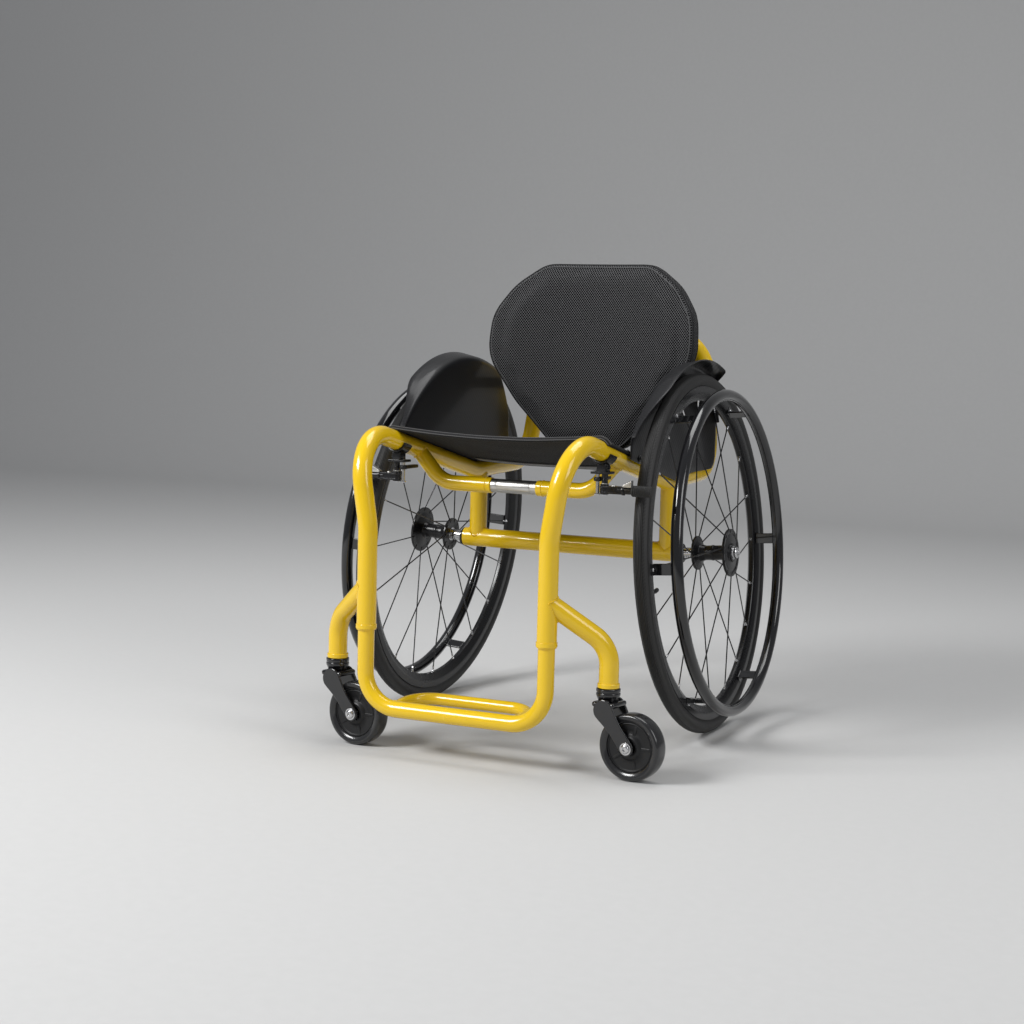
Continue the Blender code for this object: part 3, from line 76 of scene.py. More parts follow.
# Back pad, shell and brackets; the corners are (half width, height, radius)
PAD_CORNERS = ((0.100, 0.7675, 0.055), (0.186, 0.690, 0.050), (0.190, 0.605, 0.080), (0.062, 0.448, 0.045))
PAD_FRONT_BEHIND, PAD_LEAN_Z, PAD_LEAN, PAD_HOLLOW_R, PAD_THICK = 0.0853, 0.700, 0.12, 0.526, 0.045
PAD_MIDDLE_Z = (PAD_CORNERS[0][1] + PAD_CORNERS[-1][1]) / 2
COVER_CORNERS = ((0.100, 0.7675, 0.050), (0.151, 0.7310, 0.090), (0.186, 0.6800, 0.080),
                 (0.190, 0.605, 0.090), (0.137, 0.5270, 0.150), (0.062, 0.448, 0.045))
COVER_DEPTHS = ((0.50, 0.0006), (0.80, 0.0008), (0.930, 0.0026), (0.978, 0.0058), (1.003, 0.0120),
                (1.010, 0.0200), (1.006, 0.0320), (0.985, PAD_THICK - 0.0040), (0.88, PAD_THICK - 0.0005))
COVER_VOXEL, QUICK_VOXEL, PIPING_SHARE = 0.0045, 0.007, 0.975
SHELL_SHARES, SHELL_THICK = (0.88, 0.80, 0.68, 0.55, 0.42, 0.28, 0.14, 0.04), 0.003
BRACKET_Z, BRACKET_FOOT_X, COLLAR_R, COLLAR_HEIGHT = 0.555, 0.128, 0.019, 0.024

# Seat sling
SLING_FRONT_AHEAD, SLING_REAR_BEHIND, SLING_THICK = 0.310, 0.085, 0.003
SLING_LENGTH = SLING_FRONT_AHEAD + SLING_REAR_BEHIND
SLING_SAG_FRONT, SLING_SAG_REAR = 0.009, 0.003
SLING_WRAP, SLING_WRAP_R, FLAT_SHARE = radians(62), 0.0168, 0.75
STRAP_BEHIND, STRAP_WIDE, STRAP_THICK, STRAP_REACH = -0.060, 0.026, 0.0013, 1.72

# Wheels
CAMBER, WHEEL_X, WHEEL_Z = radians(4.5), 0.23928, 0.294129
TYRE_R, TYRE_SECTION_R, TYRE_RING_R = 0.295, 0.0125, 0.2825
TREAD_GROOVES, GROOVE_DEPTH, WALL_LINES, LINE_PROUD = (-22, -11, 0, 11, 22), 0.0008, (-68, 68), 0.0003
RIM_INNER_R, RIM_SEAT_R = 0.250, 0.2717
HUB_INNER, HUB_OUTER, INNER_FLANGE_R, OUTER_FLANGE_R, OUTER_FLANGE_AT = 0.013, 0.051, 0.028, 0.039, 0.0455
SPOKES_A_FLANGE, SPOKE_R, SPOKE_INSET, FLANGE_HALF = 10, 0.0011, 0.004, 0.002
VALVE_AT = radians(99)
HANDRIM_RING_R, HANDRIM_TUBE_R, HANDRIM_OUT, HANDRIM_TABS, TAB_LOW = 0.257, 0.0095, 0.047, 6, 0.0080
PLUG_OUTER, PLUG_INNER, PLUG_BORE_R = -0.0353, -0.0388, 0.0067
SPACER_LENGTH, SPACER_GROOVES, SPACER_PITCH = 0.0217, 5, 0.0036
PIN_R, PIN_HEAD_R, PIN_HEAD_LEN = 0.00635, 0.0095, 0.0070
BUTTON_R, BUTTON_PROUD, BUTTON_LEN = 0.0038, 0.0030, 0.0070

# Casters
CASTER_TURN, CASTER_TRAIL, CASTER_R, CASTER_HALF = radians(-8), 0.043, 0.050, 0.014
CORE_R, CORE_RIBS = 0.037, 5
FORK_INNER, FORK_PLATE, CROWN_LOW, CROWN_TOP = 0.0165, 0.004, 0.1047, 0.1127
STEM_R, STEM_CAP_R = 0.0055, 0.0090
HOUSING_R, HOUSING_LOW_Z, HOUSING_TOP_Z = 0.018, 0.113, 0.158

# Side guards
GUARD_X, GUARD_THICK, GUARD_TYRE_GAP = 0.197, 0.002, 0.012
GUARD_FRONT_AHEAD, GUARD_REAR_BEHIND, GUARD_ARC_END_BEHIND, GUARD_REAR_Z = 0.23597, 0.160, 0.105, 0.500
GUARD_HEM_RISE, GUARD_LIP_OUT, GUARD_LIP_RISE = 0.012, 0.033, 0.009
GUARD_ROWS, WALL_ROWS, FOLD_ROWS, LIP_ROWS = 16, 8, 5, 3

# Brakes
BRAKE_AHEAD, BRAKE_Z, BRAKE_PLATE_Z = 0.2916, 0.415, 0.4405
BRAKE_ARM_OUT, BRAKE_LEVER_IN, PIVOT_BORE_R = 0.0030, 0.0085, 0.0030

# Screw heads as (radius, height), and the washers under some of them
LEG_SCREW, TAB_SCREW, GUARD_SCREW = (0.0034, 0.0018), (0.0030, 0.0018), (0.0048, 0.0024)
SLING_SCREW, PLATE_SCREW, COLLAR_SCREW = (0.0036, 0.0018), (0.0036, 0.0022), (0.0032, 0.0022)
CLAMP_SCREW, WEDGE_SCREW = (0.0030, 0.0018), (0.0032, 0.0020)
WASHER_THICK, ON_WASHER = 0.0009, 0.0008


def at(x, behind, z):
    return Vector((x, AXLE_Y + behind, z))


def rail_z(behind):
    return RAIL_LOW_Z + tan(RAIL_SLOPE) * (-RAIL_LOW_AHEAD - behind)


def rear_z(behind):
    return RAIL_LOW_Z + REAR_SLOPE * (behind + RAIL_LOW_AHEAD)


def caster_pivot(sign, z):
    """A place on the axis that a caster swivels round."""
    return at(sign * (LEG_X + ARM_OUT), -LEG_AHEAD + ARM_BACK, z)


def cane_at(z):
    """The left cane's centre line at a height, as x, distance behind the axle and z."""
    rise = z - rear_z(HOOP_CORNER_BEHIND)
    return RAIL_X - HOOP_LEAN_IN * rise, HOOP_CORNER_BEHIND + HOOP_LEAN_BACK * rise, z


# Shaders

class Nodes:
    """A shader tree, and short ways to add what every finish uses."""

    def __init__(self, tree):
        self.tree = tree

    def node(self, kind, *places, settings=(), **names):
        """One shader node; places feed its inputs in order, names feed them by name."""
        made = self.tree.nodes.new("ShaderNode" + kind)
        for key, value in settings:
            setattr(made, key, value)
        named = ((key.replace("_", " "), value) for key, value in names.items())
        for key, value in [*enumerate(places), *named]:
            if isinstance(value, bpy.types.NodeSocket):
                self.tree.links.new(value, made.inputs[key])
            elif value is not None:
                made.inputs[key].default_value = value
        return made

    def maths(self, operation, *values):
        return self.node("Math", *values, settings=[("operation", operation)]).outputs[0]

    def split(self, vector):
        return self.node("SeparateXYZ", vector).outputs

    def speckle(self, place, scale, detail=3.0, roughness=0.6):
        return self.node("TexNoise", Vector=place, Scale=scale, Detail=detail, Roughness=roughness).outputs[0]

    def use(self, effect, **names):
        return self.node("Group", settings=[("node_tree", effect)], **names).outputs


class Effect(Nodes):
    """A shader group; takes maps each input to its plain value, or to None for a vector."""

    def __init__(self, name, takes, gives):
        super().__init__(bpy.data.node_groups.new(name, "ShaderNodeTree"))
        for label, value in takes.items():
            kind = "Vector" if value is None else "Float"
            socket = self.tree.interface.new_socket(label, in_out="INPUT", socket_type="NodeSocket" + kind)
            if value is not None:
                socket.default_value = value
        for label in gives:
            self.tree.interface.new_socket(label, in_out="OUTPUT", socket_type="NodeSocketFloat")
        self.takes = self.tree.nodes.new("NodeGroupInput").outputs
        self.out = self.tree.nodes.new("NodeGroupOutput")

    def give(self, label, socket):
        self.tree.links.new(socket, self.out.inputs[label])


def sprayed_skin():
    """The faint orange peel and handling marks of a sprayed or moulded surface."""
    made = Effect("sprayed_skin", {"Place": None, "Peel": 700.0, "Depth": 0.4}, ("Height", "Marks"))
    place = made.takes["Place"]
    peel = made.speckle(place, made.takes["Peel"], 1.0)
    made.give("Height", made.maths("MULTIPLY", peel, made.takes["Depth"]))
    broad = made.speckle(place, 9.0, 4.0)
    fine = made.speckle(place, 90.0, 5.0, 0.7)
    made.give("Marks", made.maths("MULTIPLY_ADD", fine, 0.4, made.maths("MULTIPLY", broad, 0.6)))
    return made.tree


def settled_dust():
    """A mask of dust: patchy, and stronger where the surface looks up."""
    made = Effect("settled_dust", {"Place": None, "Amount": 0.3}, ("Dust",))
    place = made.takes["Place"]
    up = made.split(made.node("NewGeometry").outputs["Normal"])[2]
    lying = made.maths("MULTIPLY_ADD", made.maths("MAXIMUM", up, 0.0), 0.7, 0.3)
    patches = made.maths("MULTIPLY", made.speckle(place, 22.0, 5.0), made.speckle(place, 400.0, 2.0))
    made.give("Dust", made.maths("MULTIPLY", made.maths("MULTIPLY", patches, lying), made.takes["Amount"]))
    return made.tree


def twill_weave():
    """Two-over-two twill: which thread lies on top, and how high it stands."""
    made = Effect("twill_weave", {"Across": 0.0, "Along": 0.0, "Thread": 0.002}, ("Warp", "Height"))
    maths = made.maths
    u, v = (maths("DIVIDE", made.takes[label], made.takes["Thread"]) for label in ("Across", "Along"))
    step = maths("ADD", maths("FLOOR", u), maths("FLOOR", v))
    warp = maths("LESS_THAN", maths("FLOORED_MODULO", step, 4.0), 1.5)
    crown_u, crown_v = (maths("SINE", maths("MULTIPLY", maths("FRACT", run), pi)) for run in (u, v))
    made.give("Warp", warp)
    crown = made.node("Mix", warp, settings=[("data_type", "FLOAT")], A=crown_v, B=crown_u)
    made.give("Height", crown.outputs[0])
    return made.tree


def spacer_knit():
    """Knitted spacer mesh: rows of round holes, each row shifted by half a hole from the next."""
    row, hole_r, thread_from = 0.617, 0.33, 0.41
    made = Effect("spacer_knit", {"Across": 0.0, "Along": 0.0, "Pitch": 0.0043}, ("Hole", "Height"))
    maths, pitch = made.maths, made.takes["Pitch"]
    v = maths("DIVIDE", made.takes["Along"], maths("MULTIPLY", pitch, row))
    odd = maths("MULTIPLY", maths("FLOORED_MODULO", maths("FLOOR", v), 2.0), 0.5)
    u = maths("ADD", maths("DIVIDE", made.takes["Across"], pitch), odd)
    du = maths("SUBTRACT", maths("FRACT", u), 0.5)
    dv = maths("MULTIPLY", maths("SUBTRACT", maths("FRACT", v), 0.5), row)
    away = maths("SQRT", maths("ADD", maths("MULTIPLY", du, du), maths("MULTIPLY", dv, dv)))
    smooth = [("interpolation_type", "SMOOTHSTEP")]
    thread = made.node("MapRange", away, hole_r, thread_from, 0.0, 1.0, settings=smooth).outputs[0]
    made.give("Hole", maths("SUBTRACT", 1.0, thread))
    made.give("Height", thread)
    return made.tree


SKIN, DUST, TWILL, KNIT = sprayed_skin(), settled_dust(), twill_weave(), spacer_knit()


class Finish(Nodes):
    """One material: its principled shader with plain settings, and the sockets that vary over it."""

    def __init__(self, name, **settings):
        self.material = bpy.data.materials.new(name)
        self.material.use_nodes = True
        super().__init__(self.material.node_tree)
        self.shader = self.tree.nodes["Principled BSDF"]
        self.place = self.node("TexCoord").outputs["Object"]
        self.surface = self.node("UVMap", settings=[("uv_map", "Surface")]).outputs[0]
        for key, value in settings.items():
            self.shader.inputs[key.replace("_", " ")].default_value = value

    def feed(self, name, socket):
        self.tree.links.new(socket, self.shader.inputs[name])

    def shade(self, mask, low, high):
        """Base colour from one tone to another by a mask."""
        mix = self.node("Mix", mask, settings=[("data_type", "RGBA")])
        mix.inputs[6].default_value = (*low, 1)
        mix.inputs[7].default_value = (*high, 1)
        self.feed("Base Color", mix.outputs[2])

    def ranged(self, value, low, high, start=0.3, end=0.7):
        return self.node("MapRange", value, start, end, low, high).outputs[0]

    def bump(self, height, strength, distance):
        made = self.node("Bump", Strength=strength, Distance=distance, Height=height)
        self.feed("Normal", made.outputs[0])

    def skin(self, peel, depth):
        return self.use(SKIN, Place=self.place, Peel=peel, Depth=depth)

    def dust(self, amount):
        return self.use(DUST, Place=self.place, Amount=amount)["Dust"]


def sprayed(name, low, high, roughness, peel=700.0, depth=0.4, dust=0.10, bump=0.15, **settings):
    """A sprayed, anodised or moulded finish with fine peel, marks and a little dust."""
    made = Finish(name, **settings)
    skin, grime = made.skin(peel, depth), made.dust(dust)
    made.shade(made.maths("ADD", skin["Marks"], grime), low, high)
    marked = made.ranged(skin["Marks"], roughness * 0.88, roughness * 1.18)
    made.feed("Roughness", made.maths("ADD", marked, grime))
    made.bump(skin["Height"], bump, 0.0002)
    return made.material


def brushed(name, colour, roughness, stretch):
    """Bare metal with fine lines; stretch is how tightly the lines are packed along X, Y and Z."""
    made = Finish(name, Metallic=1.0)
    drawn = made.node("Mapping", Vector=made.place, Scale=stretch).outputs[0]
    lines = made.speckle(drawn, 1.0, 4.0, 0.7)
    made.shade(lines, tuple(0.8 * part for part in colour), colour)
    made.feed("Roughness", made.ranged(lines, roughness * 0.7, roughness * 1.3))
    made.bump(lines, 0.15, 0.0001)
    return made.material


def woven(name, across, low, high, thread, roughness, height, **settings):
    """Twill cloth or carbon; across holds the two axes of the threads, or None on an unrolled surface."""
    made = Finish(name, **settings)
    axes = made.split(made.place if across else made.surface)
    first, second = across or (0, 1)
    weave = made.use(TWILL, Across=axes[first], Along=axes[second], Thread=thread)
    fuzz = made.speckle(made.place, 900.0, 2.0)
    made.shade(made.maths("MULTIPLY_ADD", weave["Warp"], 0.7, made.maths("MULTIPLY", fuzz, 0.3)), low, high)
    gloss = made.ranged(weave["Warp"], roughness, roughness * 1.35, 0, 1)
    made.feed("Roughness", made.maths("ADD", gloss, made.dust(0.06)))
    made.bump(weave["Height"], height, 0.0003)
    return made.material


def tread_rubber(name):
    """Tyre rubber with fine cuts across both shoulders of the tread, laid out on the unrolled tyre; the cuts
    are painted dark as painted shade.
    """
    shoulder, half_band, cut_pitch, cut_share = 0.0072, 0.0019, 0.0058, 0.40
    made = Finish(name, Specular_IOR_Level=0.4)
    maths = made.maths
    run, off, _ = made.split(made.surface)
    skin, grime = made.skin(1500.0, 0.5), made.dust(0.35)
    beside = maths("ABSOLUTE", maths("SUBTRACT", maths("ABSOLUTE", off), shoulder))
    band = maths("LESS_THAN", beside, half_band)
    slanted = maths("DIVIDE", maths("ADD", run, maths("ABSOLUTE", off)), cut_pitch)
    cut = maths("MULTIPLY", band, maths("LESS_THAN", maths("FRACT", slanted), cut_share))
    # Painted shade: the cuts are painted darker than the rubber round them, standing in for the shade inside
    # them; their bump below is real.
    tone = maths("SUBTRACT", maths("ADD", skin["Marks"], grime), cut)
    made.shade(tone, (0.005, 0.005, 0.005), (0.036, 0.0355, 0.035))
    made.feed("Roughness", maths("ADD", made.ranged(skin["Marks"], 0.40, 0.55), grime))
    made.bump(maths("SUBTRACT", skin["Height"], maths("MULTIPLY", cut, 4.0)), 0.6, 0.0004)
    return made.material


def spacer_mesh(name):
    """The pad's knitted cover, its holes in level rows on the faces and in rows round the border; its threads
    carry a painted highlight and its holes painted shade.
    """
    made = Finish(name, Specular_IOR_Level=0.08)
    across, along, _ = made.split(made.surface)
    knit = made.use(KNIT, Across=across, Along=along, Pitch=0.00433)
    fuzz = made.speckle(made.place, 1200.0, 2.0)
    # Painted light: the black threads are painted light grey as a painted highlight, and the holes near black
    # as painted shade in the openings; the rows of holes themselves are real.
    tone = made.maths("SUBTRACT", made.maths("MULTIPLY_ADD", fuzz, 0.35, 0.65), knit["Hole"])
    made.shade(tone, (0.0006, 0.0006, 0.0007), (0.16, 0.16, 0.165))
    made.feed("Roughness", made.ranged(knit["Hole"], 0.62, 0.95, 0, 1))
    made.bump(knit["Height"], 0.6, 0.0009)
    return made.material


YELLOW = sprayed("yellow_gloss", (0.80, 0.515, 0.004), (0.83, 0.545, 0.008), 0.24, bump=0.05, dust=0.01,
                 Specular_IOR_Level=0.35, Coat_Weight=0.65, Coat_Roughness=0.04)
SLEEVE = brushed("brushed_sleeve", (0.66, 0.65, 0.62), 0.34, (40, 900, 900))
STEEL = brushed("bright_steel", (0.68, 0.68, 0.69), 0.18, (500, 500, 500))
ANODISED = sprayed("satin_black", (0.004, 0.004, 0.005), (0.010, 0.010, 0.011), 0.24, Specular_IOR_Level=0.4)
SPOKE_STEEL = brushed("blackened_spoke_steel", (0.05, 0.05, 0.053), 0.24, (500, 500, 500))
GLOSS = sprayed("gloss_black", (0.003, 0.003, 0.004), (0.008, 0.008, 0.009), 0.12, bump=0.05,
                Coat_Weight=0.5, Coat_Roughness=0.05)
PLASTIC = sprayed("moulded_black", (0.007, 0.007, 0.008), (0.015, 0.015, 0.015), 0.40, peel=1800, bump=0.3,
                  Specular_IOR_Level=0.35)
CARBON = woven("carbon_twill", None, (0.003, 0.003, 0.004), (0.013, 0.013, 0.014), 0.0022, 0.34, 0.10,
               Specular_IOR_Level=0.25, Coat_Weight=0.25, Coat_Roughness=0.12)
SHELL_CARBON = woven("carbon_shell_twill", (0, 2), (0.006, 0.006, 0.007), (0.024, 0.024, 0.026), 0.0022, 0.30,
                     0.10, Specular_IOR_Level=0.4, Coat_Weight=0.6, Coat_Roughness=0.08)
TYRE_RUBBER = tread_rubber("tyre_tread_rubber")
CASTER_RUBBER = sprayed("polished_caster_rubber", (0.010, 0.010, 0.011), (0.020, 0.020, 0.021), 0.20,
                        peel=1200, bump=0.08, Coat_Weight=0.3, Coat_Roughness=0.12)
GRIP_RUBBER = sprayed("grip_rubber", (0.016, 0.016, 0.016), (0.028, 0.028, 0.027), 0.6, peel=1500, bump=0.3)
SEAT_CLOTH = woven("seat_weave", None, (0.0025, 0.0025, 0.003), (0.009, 0.009, 0.0095), 0.0016, 0.72, 0.5,
                   Specular_IOR_Level=0.15, Sheen_Weight=0.04, Sheen_Roughness=0.4)
PAD_MESH = spacer_mesh("pad_spacer_mesh")
# Light grey cord: on the pad it is the piping's own colour, and on the seat's front edge it is a painted
# highlight.
PIPING_AND_EDGE_HIGHLIGHT = woven("edge_piping_and_highlight", (0, 2), (0.028, 0.028, 0.029), (0.075, 0.075, 0.078), 0.0009, 0.5, 0.4,
               Sheen_Weight=0.1)
STRAP = woven("strap_webbing", None, (0.02, 0.02, 0.021), (0.05, 0.05, 0.052), 0.0012, 0.5, 0.5,
              Sheen_Weight=0.2)
BINDING = woven("edge_binding", (0, 2), (0.004, 0.004, 0.005), (0.013, 0.013, 0.014), 0.0012, 0.65, 0.5,
                Specular_IOR_Level=0.25, Sheen_Weight=0.05)


# Pieces

def show(name, data):
    made = bpy.data.objects.new(name, data)
    bpy.context.scene.collection.objects.link(made)
    return made


def crisp(bm, crease):
    """Smooth every face; an edge stays sharp where it turns far or a broad face meets a narrow bevel."""
    slight, broad = radians(14), 12
    for face in bm.faces:
        face.smooth = True
    for edge in bm.edges:
        if len(edge.link_faces) == 2:
            turn = edge.calc_face_angle()
            small, large = sorted(face.calc_area() for face in edge.link_faces)
            edge.smooth = turn < radians(crease) and (turn < slight or large < broad * small)


def piece(name, bm, paint, body, slot, *nodes, crease=50):
    """Weld a shape, turn it outwards, smooth and paint it, and let it ride in place of its nodes."""
    bmesh.ops.remove_doubles(bm, verts=bm.verts, dist=0.000005)
    bmesh.ops.recalc_face_normals(bm, faces=bm.faces)
    crisp(bm, crease)
    mesh = bpy.data.meshes.new(name)
    bm.to_mesh(mesh)
    bm.free()
    mesh.materials.append(paint)
    made = show(name, mesh)
    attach(made, body)
    if nodes:
        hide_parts(*nodes)
    return made


def thick_sheet(made, thickness, edge=0.0, even=False):
    """Give a skin its thickness to both sides and, where asked, a softened edge."""
    wall = made.modifiers.new("Sheet", "SOLIDIFY")
    wall.thickness, wall.offset, wall.use_even_offset = thickness, 0.0, even
    if edge:
        soft = made.modifiers.new("Edge", "BEVEL")
        soft.width, soft.segments, soft.limit_method, soft.angle_limit = edge, 2, "ANGLE", radians(50)


def unroll(bm, flat):
    """Store where each face corner lies on the unrolled surface, in metres, for weaves and tread."""
    layer = bm.loops.layers.uv.new("Surface")
    for face in bm.faces:
        middle = face.calc_center_median()
        for corner in face.loops:
            corner[layer].uv = flat(corner.vert, middle)


def add(bm, shape, place=HERE):
    """Put one finished shape in its place and into a piece's mesh."""
    bmesh.ops.transform(shape, matrix=place, verts=shape.verts)
    mesh = bpy.data.meshes.new("shape")
    shape.to_mesh(mesh)
    shape.free()
    bm.from_mesh(mesh)
    bpy.data.meshes.remove(mesh)


# Places and lists

def facing(place, heading):
    """A matrix at a place whose Z looks along a heading."""
    return Matrix.Translation(place) @ heading.to_track_quat("Z", "Y").to_matrix().to_4x4()


def axes(x, y, z):
    """The turn that brings a shape's own axes to these three."""
    return Matrix((x, y, z)).transposed().to_4x4()


def moved(place, x=0.0, y=0.0, z=0.0):
    """A place moved along its own axes."""
    return place @ Matrix.Translation((x, y, z))


def spun(place, angle, axis="Z"):
    return place @ Matrix.Rotation(angle, 4, axis)


def mirrored(half):
    """A profile with its mirror image below it."""
    return half + [(radius, -height) for radius, height in reversed(half)]


def pairs(line, closed=True):
    """Each item with the next, and the last with the first on a closed line."""
    return zip(line, line[1:] + line[:1] if closed else line[1:])


def verts_of(geom):
    return [part for part in geom if isinstance(part, bmesh.types.BMVert)]


def edges_of(geom):
    return [part for part in geom if isinstance(part, bmesh.types.BMEdge)]


# Shapes

def soften(bm, geom, offset, segments=2, affect="EDGES"):
    bmesh.ops.bevel(bm, geom=geom, offset=offset, segments=segments, profile=0.5, affect=affect, material=-1)


def circle(bm, centre, heading, radius, sides):
    place = facing(centre, heading)
    loop = []
    for vert in bmesh.ops.create_circle(bm, segments=sides, radius=radius, matrix=place)["verts"]:
        loop += [edge for edge in vert.link_edges if edge not in loop]
    return loop


def grow(bm, loop, shift, scale=1.0):
    """Extrude a loop of edges, move the new one along and widen or narrow it."""
    made = bmesh.ops.extrude_edge_only(bm, edges=loop)["geom"]
    verts = verts_of(made)
    if scale != 1.0:
        middle = sum((v.co for v in verts), Vector()) / len(verts)
        bmesh.ops.scale(bm, vec=(scale,) * 3, verts=verts, space=Matrix.Translation(-middle))
    bmesh.ops.translate(bm, vec=shift, verts=verts)
    return edges_of(made)


def sweep(bm, line, centre, axis, angle, steps):
    """Spin a line of edges round an axis; returns the line at the end of its way."""
    made = bmesh.ops.spin(bm, geom=line, cent=centre, axis=axis, angle=angle, steps=steps,
                          use_duplicate=False)
    return edges_of(made["geom_last"])


def thicken(shape, height):
    """Turn flat faces into a solid of some height; returns what is new."""
    made = bmesh.ops.extrude_face_region(shape, geom=shape.faces[:], use_keep_orig=True)["geom"]
    bmesh.ops.translate(shape, vec=(0, 0, height), verts=verts_of(made))
    return made


def cap(bm, *loops):
    for loop in loops:
        bmesh.ops.contextual_create(bm, geom=loop)


def close_end(bm, loop, edge):
    cap(bm, loop)
    soften(bm, loop, edge)


def bridge(bm, loops, closed=False):
    for first, second in pairs(loops, closed):
        bmesh.ops.bridge_loops(bm, edges=first + second)


def ringed_skin(bm, rings):
    """A skin from one closed ring of points to the next; returns the rings as loops of edges."""
    loops = []
    for ring in rings:
        verts = [bm.verts.new(point) for point in ring]
        loops.append([bm.edges.new(pair) for pair in pairs(verts)])
    bridge(bm, loops)
    return loops


def bent_tube(bm, corners, radii, radius, sides=36, step=radians(5), ends=(True, True), edge=0.0008):
    """A round tube: its end loop is extruded along each straight run and spun round each bend."""
    heading = (corners[1] - corners[0]).normalized()
    first = loop = circle(bm, corners[0], heading, radius, sides)
    here = corners[0]
    for corner, following, bend_r in zip(corners[1:], corners[2:], radii):
        leave = (following - corner).normalized()
        turn = heading.angle(leave)
        axis = heading.cross(leave).normalized()
        goal = corner - heading * bend_r * tan(turn / 2)
        loop = grow(bm, loop, goal - here)
        centre = goal + axis.cross(heading) * bend_r
        loop = sweep(bm, loop, centre, axis, turn, max(3, ceil(turn / step)))
        here = centre + Matrix.Rotation(turn, 3, axis) @ (goal - centre)
        heading = leave
    loop = grow(bm, loop, corners[-1] - here)
    for closed, end in zip(ends, (first, loop)):
        if closed:
            close_end(bm, end, edge)
    return first


def bar(bm, start, end, radius, sides=24, edge=0.0005):
    """A straight round bar, its ends closed and softened, or left open where edge is 0."""
    loop = circle(bm, start, (end - start).normalized(), radius, sides)
    tip = grow(bm, loop, end - start)
    if edge:
        close_end(bm, loop, edge)
        close_end(bm, tip, edge)


def turned(bm, profile, place=HERE, segments=48, edge=0.0, closed=False):
    """Spin a profile round the place's Z axis, its corners softened by edge."""
    shape = bmesh.new()
    verts = [shape.verts.new((radius, 0, height)) for radius, height in profile]
    for pair in pairs(verts, closed):
        shape.edges.new(pair)
    if edge:
        soften(shape, verts if closed else verts[1:-1], edge, affect="VERTICES")
    bmesh.ops.spin(shape, geom=shape.verts[:] + shape.edges[:], cent=(0, 0, 0), axis=UP, angle=2 * pi,
                   steps=segments, use_merge=True, use_duplicate=False)
    bmesh.ops.remove_doubles(shape, verts=shape.verts, dist=0.000001)
    add(bm, shape, place)


def washer(bm, place, inner, outer, low, high, segments, edge):
    """A flat ring between two radii and two heights, or a disc where the inner radius is 0."""
    profile = [(inner, low), (outer, low), (outer, high), (inner, high)]
    turned(bm, profile, place, segments, edge, closed=inner > 0)


def collar(bm, place, radius, proud, heights, edge):
    """A low ring round a tube, with a foot and a shoulder at each end."""
    foot, shoulder, far_shoulder, far_foot = heights
    skin, top = radius - SUNK, radius + proud
    turned(bm, [(skin, foot), (top, shoulder), (top, far_shoulder), (skin, far_foot)], place, 48, edge)


def block(bm, size, place, edge=0.001, segments=2):
    shape = bmesh.new()
    bmesh.ops.create_cube(shape, size=1)
    bmesh.ops.scale(shape, vec=size, verts=shape.verts)
    soften(shape, shape.edges[:], edge, segments)
    add(bm, shape, place)


def link(bm, length, near_r, far_r, thick, place, edge, waist=0.0):
    """A flat bar with round ends, the near one at the place and the far one along its X, and a waist."""
    shape = bmesh.new()
    bmesh.ops.create_circle(shape, cap_ends=True, segments=40, radius=near_r)
    far = [v for v in shape.verts if v.co.x > 0.00001]
    near = [v for v in shape.verts if v not in far]
    bmesh.ops.scale(shape, vec=(far_r / near_r,) * 3, verts=far)
    bmesh.ops.translate(shape, vec=(length, 0, -thick / 2), verts=far)
    bmesh.ops.translate(shape, vec=(0, 0, -thick / 2), verts=near)
    if waist:
        flanks = [e for e in shape.edges if e.calc_length() > length / 2]
        made = bmesh.ops.subdivide_edges(shape, edges=flanks, cuts=11)["geom_inner"]
        for vert in verts_of(made):
            vert.co.y *= 1 - waist * sin(pi * min(1.0, max(0.0, vert.co.x / length))) ** 1.5
    outline = shape.edges[:]
    outline += edges_of(thicken(shape, thick))
    soften(shape, outline, edge)
    add(bm, shape, place)


def socket_screw(bm, place, size, key=0.0):
    """A button-head screw standing on the place, with a hexagon socket."""
    radius, height = size
    shape = bmesh.new()
    base = loop = circle(shape, Vector(), UP, radius, 18)
    for rise, scale in ((0.45, 1.0), (0.40, 0.86), (0.15, 0.70)):
        loop = grow(shape, loop, UP * height * rise, scale)
    hexagon = circle(shape, UP * height, UP, key or radius * 0.42, 6)
    bmesh.ops.bridge_loops(shape, edges=loop + hexagon)
    cap(shape, grow(shape, hexagon, -UP * height * 0.6), base)
    add(bm, shape, place)


def hexagon_nut(bm, spot, radius, height):
    shape = bmesh.new()
    base = circle(shape, Vector(), UP, radius, 6)
    top = grow(shape, base, UP * height)
    close_end(shape, base, height * 0.12)
    close_end(shape, top, height * 0.12)
    add(bm, shape, Matrix.Translation(spot))


def cord_along(bm, points, radius, sides=8, closed=False):
    """A round cord through a line of points: a circle at each, bridged to the next."""
    count = len(points)
    loops = []
    for k, point in enumerate(points):
        before = points[k - 1] if closed or k else point
        after = points[(k + 1) % count] if closed or k < count - 1 else point
        loops.append(circle(bm, point, (after - before).normalized(), radius, sides))
    bridge(bm, loops, closed)
    if not closed:
        cap(bm, loops[0], loops[-1])


def ring_points(centre, axis, radius, count):
    side = axis.orthogonal().normalized()
    other = axis.cross(side)
    turns = (2 * pi * k / count for k in range(count))
    return [centre + radius * (cos(turn) * side + sin(turn) * other) for turn in turns]


def skin_hit(point, heading, through, along, main_r):
    """Where a line first meets the skin of a main tube."""
    flat_heading = heading - heading.dot(along) * along
    off = point - through
    off -= off.dot(along) * along
    a, b, c = flat_heading.length_squared, off.dot(flat_heading), off.length_squared - main_r ** 2
    return point + heading * (-b - sqrt(max(0.0, b * b - a * c))) / a


def saddle(start, heading, radius, through, along, main_r, count):
    """The closed line on a main tube where a tube that starts outside it lands."""
    return [skin_hit(point, heading, through, along, main_r)
            for point in ring_points(start, heading, radius, count)]


